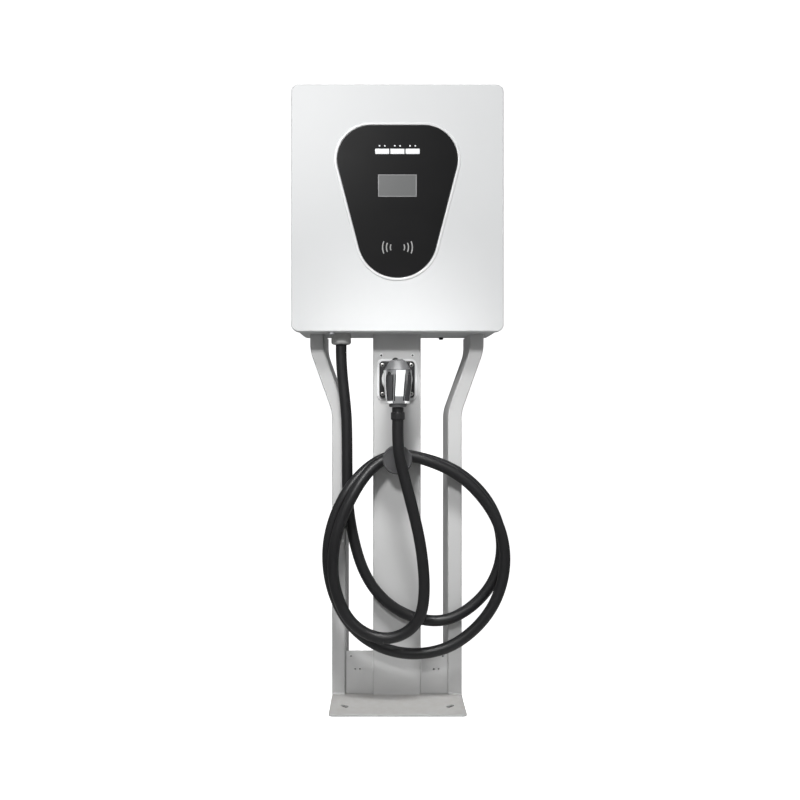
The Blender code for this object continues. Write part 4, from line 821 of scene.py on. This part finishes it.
def addColumns(settings):
    for title, side in (("left", -1), ("right", 1)):
        low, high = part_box(title + "_column")
        rings = []
        for outer, height in crankStations(settings, low.z, high.z):
            section = channelOutline(
                side * outer, side * (outer - settings["width"]), settings["depth"], settings["sheet"],
                settings["bend"])
            rings.append([(a, b, height) for a, b in section])
        shape = bmesh.new()
        addStack(shape, rings)
        makePiece(
            title + "Column", shape, "pedestalPaint", "post", (title + "_column",),
            weighted=True)


addColumns(columnSettings)

postSettings = {"sheet": 0.0025, "bend": 0.0035, "socket": 0.0289, "bolt": 0.0043, "hole": 0.0025}
postLow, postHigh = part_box("centre_post")
holsterZ = 0.809
hangerZ = 0.590
postHoles = [(-0.040, 0.871), (0.040, 0.871)]
kickHoles = [(0.012, 0.014), (0.023, 0.047), (0.035, 0.047)]


def addHoleCup(shape, place, outer, inner, depth, steps):  # blind cup behind a hole
    floor = depth - 0.002
    profile = [(outer, 0), (outer, depth), (0, depth), (0, floor), (inner, floor), (inner, 0)]
    addTurned(shape, profile, place, (0, 1, 0), steps)


def addPost(settings):
    section = channelOutline(postHigh.x, postLow.x, postHigh.y, settings["sheet"], settings["bend"])
    shape = bmesh.new()
    addStack(shape, [[(a, b, z) for a, b in section] for z in (postLow.z, postHigh.z)])
    item = makePiece("centrePost", shape, "pedestalPaint", "post", ("centre_post",))
    cuts = [rodShape(settings["hole"], (x, -beyond, z), (x, beyond, z), 20) for x, z in postHoles]
    cuts.append(rodShape(settings["socket"], (0, -beyond, holsterZ), (0, beyond, holsterZ), 48))
    cuts.append(rodShape(settings["bolt"], (0, -beyond, hangerZ), (0, beyond, hangerZ), 24))
    carve(item, *cuts)
    shape = bmesh.new()
    for x, z in postHoles:
        profile = [
            (0.0026, 0.0012), (0.0026, -0.0007), (0.0031, -0.0010), (0.0040, -0.0008), (0.0045, -0.00005),
            (0.0045, 0.0005)]
        addTurned(shape, profile, (x, 0, z), (0, 1, 0), 28)
    makePiece("postGrommets", shape, "bezelWhite", "post")
    # dark cups behind the post's and kick plates' holes: painted shade for the holes' dark insides
    shape = bmesh.new()
    for x, z in postHoles:
        addHoleCup(shape, (x, settings["sheet"], z), 0.0034, 0.0024, 0.010, 24)
    for side, node in ((-1, "left_kick_plate"), (1, "right_kick_plate")):
        low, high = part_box(node)
        for across, drop in kickHoles:
            x = (low.x if side < 0 else high.x) - side * across
            addHoleCup(shape, (x, high.y, high.z - drop), 0.0029, 0.0019, 0.008, 20)
    makePiece("holeShadeCups", shape, "darkPlastic", "post")


addPost(postSettings)

filletSettings = {"radius": 0.006}


def addFillets(settings):  # rounded weld beads where the uprights stand on the foot
    radius = settings["radius"]
    shape = bmesh.new()
    low = footHigh.z
    spans = [(postLow.x + 0.002, postHigh.x - 0.002)]
    column = columnSettings["low"] - columnSettings["width"] / 2
    half = columnSettings["width"] / 2 - 0.002
    spans += [(side * column - half, side * column + half) for side in (-1, 1)]
    for first, last in spans:
        section = [(0.0, low), (-radius, low)]
        turns = [math.radians(90 * i / 8) for i in range(1, 9)]
        section += [(-radius + radius * math.sin(a), low + radius - radius * math.cos(a)) for a in turns]
        addStack(shape, [[(x, a, b) for a, b in section] for x in (first, last)])
    makePiece("weldBeads", shape, "pedestalPaint", "post", sharp=40)


addFillets(filletSettings)
print("pedestal made")

# Cable gland, breather and lock under the cabinet.


def turnedPiece(name, profile, place, direction, look, body="post", stands=(), steps=48):
    shape = bmesh.new()
    addTurned(shape, profile, place, direction, steps)
    return makePiece(name, shape, look, body, stands)


def lowerRound(radius, low, ease, first):  # profile points round a lower edge
    angles = [math.radians(angle) for angle in range(first, 91, 15)]
    return [(radius - ease + ease * math.cos(a), low + ease - ease * math.sin(a)) for a in angles]


glandSettings = {"radius": 0.025, "stem": 0.018, "round": 0.006, "mouth": 0.015, "nut": 0.0235}


def addGland(settings):
    low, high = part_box("gland_body")
    place = ((low.x + high.x) / 2, (low.y + high.y) / 2, 0)
    radius, ease = settings["radius"], settings["round"]
    top = doorLow.z - fit
    profile = [(0, high.z), (settings["stem"], high.z), (settings["stem"], top), (radius - 0.001, top)]
    profile += [
        (radius, top - 0.001), (radius, top - 0.011), (radius - 0.0008, top - 0.0118),
        (radius, top - 0.0126)]
    profile += lowerRound(radius, low.z, ease, 0)
    mouth = settings["mouth"]
    profile += [(mouth, low.z), (mouth - 0.0008, low.z + 0.0008), (0, low.z + 0.0008)]
    turnedPiece("gland", profile, place, (0, 0, 1), "glandGrey", stands=("gland_body",))
    low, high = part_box("gland_lock_nut")
    outlines = [circle(place[:2], settings["nut"], 6), circle(place[:2], settings["stem"] + fit, 40)]
    shape = plateShape(outlines, low.z, high.z, "Z", edge=0.0008, segments=2, sides="high")
    makePiece("glandNut", shape, "glandGrey", "post", ("gland_lock_nut",))


addGland(glandSettings)


def addBreather():
    low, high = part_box("breather_plug")
    place = ((low.x + high.x) / 2, (low.y + high.y) / 2, 0)
    top = doorLow.z - fit
    profile = [(0, high.z), (0.0042, high.z), (0.0042, top), (0.006, top), (0.006, top - 0.004)]
    profile += [
        (0.0052, top - 0.0055), (0.0040, low.z), (0.0018, low.z), (0.0016, low.z + 0.001),
        (0, low.z + 0.001)]
    turnedPiece(
        "breather", profile, place, (0, 0, 1), "blackPlastic", stands=("breather_plug",),
        steps=32)


addBreather()


def addLock():
    low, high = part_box("lock_barrel")
    place = ((low.x + high.x) / 2, (low.y + high.y) / 2, 0)
    top = doorLow.z - fit
    profile = [
        (0, high.z), (0.007, high.z), (0.007, top), (0.008, top), (0.008, low.z + 0.001), (0.007, low.z),
        (0, low.z)]
    item = turnedPiece("lock", profile, place, (0, 0, 1), "zinc", "door", ("lock_barrel",))
    carve(
        item,
        boxShape(
            (place[0] - 0.0006, place[1] - 0.0035, low.z - 0.002),
            (place[0] + 0.0006, place[1] + 0.0035, low.z + 0.003)))


addLock()
print("fittings under the cabinet made")

# Holster, its screws and the cable hanger on the post.

holsterLow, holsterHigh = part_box("holster_backing")
holsterSettings = {
    "width": 0.0895, "height": 0.0935, "corner": 0.009, "margin": 0.006, "screwHole": 0.0023,
    "edge": 0.0016, "front": -0.0123, "back": -0.0023, "bore": 0.0245, "wall": 0.0035, "depth": 0.050,
    "pitch": 0.073, "hoopX": -0.004, "hoopRadius": 0.0070, "hoopWire": 0.0022}


def addHolster(settings):
    middle = (0, holsterZ)
    margin = settings["margin"]
    outlines = [
        roundedRectangle(
            settings["width"] + 2 * margin, settings["height"] + 2 * margin, settings["corner"] + margin,
            middle),
        circle(middle, postSettings["socket"])]
    shape = plateShape(outlines, holsterLow.y, holsterHigh.y, edge=0.0008)
    makePiece("holsterBacking", shape, "bezelWhite", "post", ("holster_backing",))
    bore, outer = settings["bore"], settings["bore"] + settings["wall"]
    outlines = [
        roundedRectangle(settings["width"], settings["height"], settings["corner"], middle),
        circle(middle, bore)]
    outlines += [circle(place, settings["screwHole"], 16) for place in screwPlaces(settings)]
    shape = plateShape(outlines, settings["front"], settings["back"], edge=settings["edge"], segments=4)
    end = settings["front"] + settings["depth"]
    profile = [
        (bore, settings["front"] + 0.004), (outer, settings["front"] + 0.004), (outer, end - 0.002),
        (outer - 0.002, end)]
    profile += [
        (0, end), (0, end - settings["wall"]), (bore, end - settings["wall"]),
        (bore, settings["front"] + 0.004)]
    addTurned(shape, profile, (0, 0, holsterZ), (0, 1, 0), 48)
    top = (settings["hoopX"], holsterZ + settings["height"] / 2)
    depth = (settings["front"] + settings["back"]) / 2
    hoop = [Vector((x, depth, z)) for x, z in arc(top, settings["hoopRadius"], -30, 210, 22)]
    addTube(shape, hoop, settings["hoopWire"], 14)
    makePiece("holster", shape, "blackPlastic", "post", ("holster_flange",))


def screwPlaces(settings):
    half = settings["pitch"] / 2
    return [(a * half, holsterZ + b * half) for a, b in ((1, 1), (-1, 1), (-1, -1), (1, -1))]


def addScrews(settings):
    for i, (x, z) in enumerate(screwPlaces(settings)):
        node = f"holster_screw_{i + 1}"
        low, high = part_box(node)
        seat = settings["front"] - fit
        profile = [(0, high.y), (0.002, high.y), (0.002, seat), (0.0051, seat), (0.0052, seat - 0.0009)]
        profile += [
            (0.0046, seat - 0.0018), (0.0034, low.y + 0.0001), (0.0024, low.y), (0.0023, low.y + 0.0012),
            (0, low.y + 0.0014)]
        turnedPiece(
            f"screw{i + 1}", profile, (x, 0, z), (0, 1, 0), "steel", stands=(node,),
            steps=32)
        # black hexagon in each screw head: painted shade for the socket's dark inside
        shape = plateShape([circle((x, z), 0.00235, 6)], low.y + 0.0002, low.y + 0.0016)
        makePiece(f"socketShade{i + 1}", shape, "panelEdge", "post")


addHolster(holsterSettings)
addScrews(holsterSettings)

hangerSettings = {"disc": 0.0365, "lift": 0.020, "rim": 0.004}


def addHanger(settings):
    low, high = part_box("hanger_peg")
    profile = [
        (0.0044, high.y), (0.0094, high.y), (0.010, high.y - 0.0006), (0.010, low.y + 0.0006),
        (0.0094, low.y)]
    profile += [(0.0044, low.y), (0.0044, high.y)]
    turnedPiece(
        "peg", profile, (0, 0, hangerZ), (0, 1, 0), "steel", stands=("hanger_peg",))
    low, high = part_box("hanger_disc")
    radius = settings["disc"]
    rim = settings["rim"]
    profile = [(0, high.y), (radius - 0.001, high.y), (radius, high.y - 0.001), (radius, low.y + 0.003)]
    profile += lowerRound(radius, low.y, 0.003, 15)
    profile += [
        (radius - rim, low.y), (radius - rim - 0.001, low.y + 0.0009),
        (radius - rim - 0.008, low.y + 0.0012)]
    profile += [(0.006, low.y + 0.0006), (0, low.y + 0.0005)]
    turnedPiece(
        "hangerDisc", profile, (0, 0, hangerZ + settings["lift"]), (0, 1, 0), "discGrey",
        stands=("hanger_disc",), steps=72)


addHanger(hangerSettings)
print("holster and hanger made")

# Gun: body with grips and back strip, cap, button, collar, nose and cable nut.

gunSettings = {
    "top": (0.8287, 0.0318, 0.0418), "foot": (0.7488, -0.1243, 0.0288, 0.0248), "power": 0.78,
    "turn": (4, 13.3), "strip": (14.7, 17), "line": 27.5, "ridge": 32.5, "groove": 35, "grip": 60,
    "gripEdge": 62, "bodyY": -0.0953, "steps": 144, "levels": 28, "gripLow": 0.08, "gripHigh": 0.87,
    "greyBelow": 0.2}


def gunRing(z, middle, width, depth, power, steps, offsets=None, turned=None):
    ring = []
    for k in range(steps):
        bearing = 360 * k / steps
        angle = math.radians(turned(bearing) if turned else bearing)
        s, c = math.sin(angle), math.cos(angle)
        grow = offsets(bearing) if offsets else 0
        across = math.copysign(abs(s) ** power, s) * (width + grow)
        ahead = math.copysign(abs(c) ** power, c) * (depth + grow)
        ring.append(Vector((across, middle - ahead, z)))
    return ring


def gunBearing(bearing):  # signed, from the back strip's middle; the strip always ends at 25
    return (bearing + 180) % 360 - 180


def gunAngle(bearing, share, settings):  # where a bearing lies on the body, at a share of its height
    turn, strip = [low + (high - low) * share for low, high in (settings["turn"], settings["strip"])]
    size, edge = abs(gunBearing(bearing)), settings["gripEdge"]
    if size <= 25:
        angle = size * strip / 25
    elif size <= 60:
        angle = strip + (size - 25) * (edge - strip) / 35
    else:
        angle = edge + (size - 60) * (180 - edge) / 120
    return turn + math.copysign(angle, gunBearing(bearing))


def easeStep(value, first, last):
    share = min(1, max(0, (value - first) / (last - first)))
    return share * share * (3 - 2 * share)


def gunOffset(bearing, share, settings):
    bearing = abs(gunBearing(bearing))
    grow = -0.0006
    inGrip = easeStep(share, settings["gripLow"] - 0.04, settings["gripLow"]) * (
        1 - easeStep(share, settings["gripHigh"], settings["gripHigh"] + 0.03))
    if settings["line"] > bearing >= 24.9:
        grow -= 0.0014 * inGrip
    elif settings["ridge"] > bearing >= settings["line"]:
        grow += 0.0005 * inGrip
    elif settings["groove"] > bearing >= settings["ridge"]:
        grow -= 0.0014 * inGrip
    elif settings["grip"] > bearing >= settings["groove"]:
        grow += 0.0004 * inGrip
    elif bearing >= settings["grip"] and bearing < 112:
        cheek = easeStep(
            bearing, settings["grip"], settings["grip"] + 3) * (1 - easeStep(bearing, 104, 112))
        grow += 0.0030 * cheek * easeStep(share, 0.02, 0.75)
    return grow


# Zone 2 is painted shade: the grooves beside the back strip and behind the ridge, and the step at the
# grip's edge, are coloured near-black.
def gunZone(bearing, share, settings):
    bearing = abs(gunBearing(bearing))
    if share >= settings["gripHigh"]:
        return 0 if bearing < 25 or bearing > settings["grip"] + 2 else 3
    if share <= settings["gripLow"]:
        return 3 if bearing < settings["ridge"] else 0
    if bearing < 25:
        return 3 if share < settings["greyBelow"] else 0
    if bearing < settings["line"] or settings["ridge"] < bearing < settings["groove"]:
        return 2
    if bearing < settings["ridge"]:
        return 3
    if settings["groove"] < bearing < settings["grip"]:
        return 1
    return 2 if settings["grip"] < bearing < settings["grip"] + 3 else 0


def addGunBody(settings):
    shape = bmesh.new()
    topZ, topWide, topDeep = settings["top"]
    footZ, footY, footWide, footDeep = settings["foot"]
    steps, levels = settings["steps"], settings["levels"]
    rings = []
    for k in range(levels + 1):
        share = k / levels
        z = footZ + (topZ - footZ) * share
        middle = footY + (settings["bodyY"] - footY) * share
        bulge = 0.0012 * math.sin(math.pi * share)
        width = footWide + (topWide - footWide) * share + bulge
        depth = footDeep + (topDeep - footDeep) * share + bulge * 0.4
        rings.append(gunRing(
            z, middle, width, depth, settings["power"], steps, lambda b: gunOffset(b, share, settings),
            lambda b: gunAngle(b, share, settings)))
    low = [point + (Vector((0, footY, footZ)) - point) * 0.10 for point in rings[0]]
    corners = [[shape.verts.new(place) for place in ring] for ring in [low] + rings]
    for level, (first, second) in enumerate(zip(corners, corners[1:])):
        for k in range(steps):
            n = (k + 1) % steps
            face = shape.faces.new((first[k], first[n], second[n], second[k]))
            face.material_index = gunZone(360 * (k + 0.5) / steps, (level - 0.5) / levels, settings)
    shape.faces.new(corners[0])
    shape.faces.new(corners[-1])
    neck = [(0, 0.010), (0.021, 0.010), (0.021, -0.0062), (0.0195, -0.0084), (0, -0.0084)]
    count = len(shape.faces)
    addTurned(shape, neck, (0, footY, footZ), (0, 0, 1), 48)
    for face in list(shape.faces)[count:]:
        face.material_index = 3
    # the third look is painted shade for the grooves
    looks = ["gunWhite", "gripDark", "panelEdge", "gunGrey"]
    makePiece("gunBody", shape, looks, "gun", ("gun_shell",), 38)


addGunBody(gunSettings)

barrelSettings = {"front": -0.0183, "barrel": 0.0272, "collar": 0.0385, "length": 0.012, "end": 0.03}


def addBarrel(settings):
    front = settings["front"]
    collar = settings["collar"]
    back = front - settings["length"]
    barrel, end = settings["barrel"], gunSettings["bodyY"] + settings["end"]
    profile = [
        (0, front), (collar - 0.002, front), (collar, front - 0.002), (collar, back + 0.002),
        (collar - 0.002, back)]
    profile += [(barrel + 0.003, back), (barrel, back - 0.003), (barrel, end), (0, end)]
    turnedPiece(
        "gunBarrel", profile, (0, 0, holsterZ), (0, 1, 0), "gunWhite", "gun", steps=64)
    low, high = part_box("gun_nose")
    rim = (high.x - low.x) / 2
    tip = high.y
    profile = [(0, low.y), (rim, low.y), (rim, tip - 0.0015), (rim - 0.0015, tip), (rim - 0.004, tip)]
    profile += [(rim - 0.004, tip - 0.004), (0, tip - 0.004)]
    item = turnedPiece(
        "gunNose", profile, (0, 0, holsterZ), (0, 1, 0), "blackPlastic", "gun",
        ("gun_nose",), 64)
    sockets = [
        (-0.0075, 0.0055, 0.0026), (0.0075, 0.0055, 0.0026), (0, -0.0010, 0.0026),
        (-0.0100, -0.0060, 0.0036), (0.0100, -0.0060, 0.0036)]
    cuts = []
    for x, z, r in sockets:
        cuts.append(rodShape(r, (x, tip - 0.012, holsterZ + z), (x, tip + 0.002, holsterZ + z), 20))
    carve(item, *cuts)
    shape = bmesh.new()
    for x, z, r in sockets:
        profile = [(0, 0), (r * 0.6, 0), (r * 0.6, 0.006), (r * 0.4, 0.0068), (0, 0.0068)]
        addTurned(shape, profile, (x, tip - 0.0119, holsterZ + z), (0, 1, 0), 16)
    makePiece("gunContacts", shape, "brass", "gun")


addBarrel(barrelSettings)

capSettings = {
    "steps": 96, "power": 0.74,
    "rings": (
        (0.8290, 0.0300, 0.0400), (0.8290, 0.0314, 0.0414), (0.8300, 0.0317, 0.0417),
        (0.8345, 0.0296, 0.0395), (0.8400, 0.0264, 0.0366), (0.8455, 0.0232, 0.0336),
        (0.8495, 0.0206, 0.0311), (0.8518, 0.0186, 0.0290), (0.8528, 0.0164, 0.0265),
        (0.8530, 0.0140, 0.0240))}


def addCap(settings):
    middle, power, steps = gunSettings["bodyY"], settings["power"], settings["steps"]
    rings = [gunRing(z, middle, w, d, power, steps) for z, w, d in settings["rings"]]
    shape = bmesh.new()
    addStack(shape, rings)
    item = makePiece("gunCap", shape, "gunGrey", "gun", ("gun_rear_cap",))
    low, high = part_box("gun_release_button")
    pocket = boxShape((low.x - fit, low.y - fit, low.z - 0.0032), (high.x + fit, high.y + fit, 0.87))
    carve(item, pocket, rodShape(0.0278, (0, -0.018, holsterZ), (0, -0.106, holsterZ), 64), sharp=36)
    shape = boxShape(low, high, 0.0022)
    makePiece("gunButton", shape, "gunGrey", "gun_button", ("gun_release_button",))


addCap(capSettings)

pivotSettings = {
    "bearing": 49, "height": 0.8195, "radius": 0.0048, "across": 0.0311, "ahead": 0.0408, "y": -0.0983}


def addPivots(settings):  # dark pivot screws where the cap's wings end
    shape = bmesh.new()
    for side in (-1, 1):
        angle = math.radians(gunAngle(side * settings["bearing"], 0.85, gunSettings))
        s, c = math.sin(angle), math.cos(angle)
        across = math.copysign(abs(s) ** gunSettings["power"], s) * settings["across"]
        ahead = math.copysign(abs(c) ** gunSettings["power"], c) * settings["ahead"]
        place = Vector((across, settings["y"] - ahead, settings["height"]))
        out = Vector((s, -c, 0.0))
        radius = settings["radius"]
        profile = [
            (0, -0.003), (radius, -0.003), (radius, 0.0005), (radius - 0.0007, 0.0010),
            (radius - 0.0014, 0.0004)]
        profile += [(0.0012, 0.0003), (0.0010, -0.0008), (0, -0.0008)]
        addTurned(shape, profile, place, out, 32)
    makePiece("gunPivots", shape, "blackPlastic", "gun")


addPivots(pivotSettings)

nutSettings = {"y": -0.1243, "top": 0.0138, "radius": 0.0166, "ribs": 12}


def addNut(settings):
    low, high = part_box("gun_cable_nut")
    radius, small = settings["radius"], settings["top"]
    middle = high.z - 0.012
    profile = [
        (0, high.z), (small - 0.001, high.z), (small, high.z - 0.001), (small, middle + 0.001),
        (radius - 0.0012, middle)]
    profile += [
        (radius, middle - 0.0014), (radius, low.z + 0.0024), (radius - 0.0008, low.z + 0.0008),
        (0.0150, low.z), (0, low.z)]
    item = turnedPiece(
        "cableNut", profile, (0, settings["y"], 0), (0, 0, 1), "blackPlastic", "gun",
        ("gun_cable_nut",), 72)
    ribs = bmesh.new()
    for k in range(settings["ribs"]):
        angle = 2 * math.pi * (k + 0.5) / settings["ribs"]
        x, y = math.cos(angle) * (radius + 0.0006), settings["y"] + math.sin(angle) * (radius + 0.0006)
        addTurned(
            ribs, [(0, 0), (0.0016, 0), (0.0016, 0.0125), (0, 0.0135)], (x, y, low.z + 0.0025), (0, 0, 1),
            12)
    carve(item, ribs, sharp=40)


addNut(nutSettings)
print("gun made")

# Fixings and works that keep their plain shape: softened edges and their own finish.


def softenNode(node, look, width=0.0006, segments=2):
    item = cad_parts[node]
    for socket in item.material_slots:
        socket.material = finish[look]
    weld = item.modifiers.new("weld", "WELD")
    weld.merge_threshold = 0.00001
    if width:
        edge = item.modifiers.new("edge", "BEVEL")
        edge.width = width
        edge.segments = segments
        edge.limit_method = "ANGLE"
        edge.angle_limit = math.radians(40)
        edge.harden_normals = True


plainPieces = {
    "pedestalPaint": ["left_kick_plate", "right_kick_plate", "left_back_strap", "right_back_strap"],
    "zinc": [
        "mounting_plate", "din_rail", "lock_hook", "lock_keeper", "hinge_leaf_upper_frame",
        "hinge_leaf_lower_frame", "hinge_leaf_upper_door", "hinge_leaf_lower_door"],
    "steel": ["hanger_bolt", "hinge_pin_upper", "hinge_pin_lower"],
    "copper": ["earth_stud"],
    "aluminium": ["power_module"],
    "boardGreen": ["control_board", "reader_board"],
    "blackPlastic": [
        "fan_frame_lower", "fan_frame_upper", "fan_rotor_lower", "fan_rotor_upper", "breaker_lever"],
    "darkPlastic": ["dc_contactor"],
    "greyPlastic": ["breaker_body", "terminal_block"],
}
for look, nodes in plainPieces.items():
    for node in nodes:
        softenNode(node, look, 0.0003 if "hinge" in node or "fan" in node else 0.0006)

worksSettings = {
    "fins": 15,
    "chips": (
        (0.2, 0.7, 0.3, 0.25), (0.68, 0.72, 0.22, 0.2), (0.3, 0.3, 0.18, 0.3), (0.72, 0.3, 0.3, 0.16))}


def addWorks(settings):
    low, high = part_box("power_module")
    shape = bmesh.new()
    gap = (high.x - low.x - 0.03) / settings["fins"]
    for i in range(settings["fins"] + 1):
        x = low.x + 0.015 + i * gap
        addBox(
            shape, (x - 0.0012, low.y - 0.003, low.z + 0.012),
            (x + 0.0012, low.y + 0.0005, high.z - 0.012), 0.0006, 1)
    makePiece("moduleFins", shape, "aluminium", "post")
    for node, body, toward in (("control_board", "post", -1), ("reader_board", "door", 1)):
        low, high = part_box(node)
        face = low.y if toward < 0 else high.y
        shape = bmesh.new()
        for u, v, w, h in settings["chips"]:
            x, z = low.x + u * (high.x - low.x), low.z + v * (high.z - low.z)
            half = Vector((w * (high.x - low.x) / 2, 0, h * (high.z - low.z) / 2))
            first = Vector((x, face - (0.004 if toward < 0 else 0.0002), z)) - half
            last = Vector((x, face + (0.0002 if toward < 0 else 0.004), z)) + half
            addBox(shape, first, last, 0.0005, 1)
        makePiece(node + "_chips", shape, "chipBlack", body)
    low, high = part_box("terminal_block")
    shape = bmesh.new()
    for i in range(8):
        x = low.x + (i + 0.5) * (high.x - low.x) / 8
        for z in (low.z + 0.011, high.z - 0.011):
            profile = [(0, 0.001), (0.0036, 0.001), (0.0036, -0.0004), (0.0030, -0.0008), (0, -0.0008)]
            addTurned(shape, profile, (x, low.y, z), (0, 1, 0), 20)
    makePiece("terminalScrews", shape, "brass", "post")


addWorks(worksSettings)
print("works finished")

# Floor, backdrop and light.

lightSettings = {
    "key": {"place": (-0.7, -2.9, 2.6), "aim": (0, 0, 1.22), "cone": 41, "size": 0.22, "power": 285},
    "fill": {"place": (2.2, -2.4, 2.0), "aim": (0, 0, 0.75), "size": 1.4, "power": 5},
    "top": {"place": (0, -0.75, 1.7), "aim": (0, -0.02, 0), "cone": 50, "size": 0.15, "power": 68},
    "world": 0.29, "backdrop": 1.0, "floor": 0.95, "wall": 4.0}


def addLight(name, settings):
    data = bpy.data.lights.new(name, "SPOT" if "cone" in settings else "AREA")
    if "cone" in settings:
        data.spot_size = math.radians(settings["cone"])
        data.spot_blend = 1
        data.shadow_soft_size = settings["size"]
    else:
        data.size = settings["size"]
    data.energy = settings["power"]
    item = bpy.data.objects.new(name, data)
    item.location = settings["place"]
    item.rotation_euler = (
        Vector(settings["place"]) - Vector(settings["aim"])).to_track_quat("Z", "Y").to_euler()
    scene.collection.objects.link(item)


def stageSheet(name, glow, place, turn):
    shape = bmesh.new()
    bmesh.ops.create_grid(shape, x_segments=1, y_segments=1, size=12)
    made, tree, inputs = newMaterial(name)
    inputs["Base Color"].default_value = (0.72, 0.72, 0.72, 1)
    inputs["Roughness"].default_value = 0.9
    inputs["Specular IOR Level"].default_value = 0.1
    inputs["Emission Color"].default_value = (1, 1, 1, 1)
    seen = addNode(tree, "LightPath")
    glows = addNode(tree, "Math", {0: seen.outputs["Is Camera Ray"], 1: glow}, operation="MULTIPLY")
    tree.links.new(glows.outputs[0], inputs["Emission Strength"])
    item = meshItem(name, shape)
    item.data.materials.append(made)
    item.location = place
    item.rotation_euler = turn


def addStage(settings):
    stageSheet("floor", settings["floor"], (0, settings["wall"] - 12, -0.0002), (0, 0, 0))
    stageSheet("backdrop", settings["backdrop"], (0, settings["wall"], 0), (math.pi / 2, 0, 0))
    world = bpy.data.worlds.new("studio")
    world.use_nodes = True
    world.node_tree.nodes["Background"].inputs["Color"].default_value = (1, 1, 1, 1)
    world.node_tree.nodes["Background"].inputs["Strength"].default_value = settings["world"]
    scene.world = world
    for name in ("key", "fill", "top"):
        addLight(name, settings[name])


addStage(lightSettings)
scene.view_settings.view_transform = "Standard"
print("stage ready")
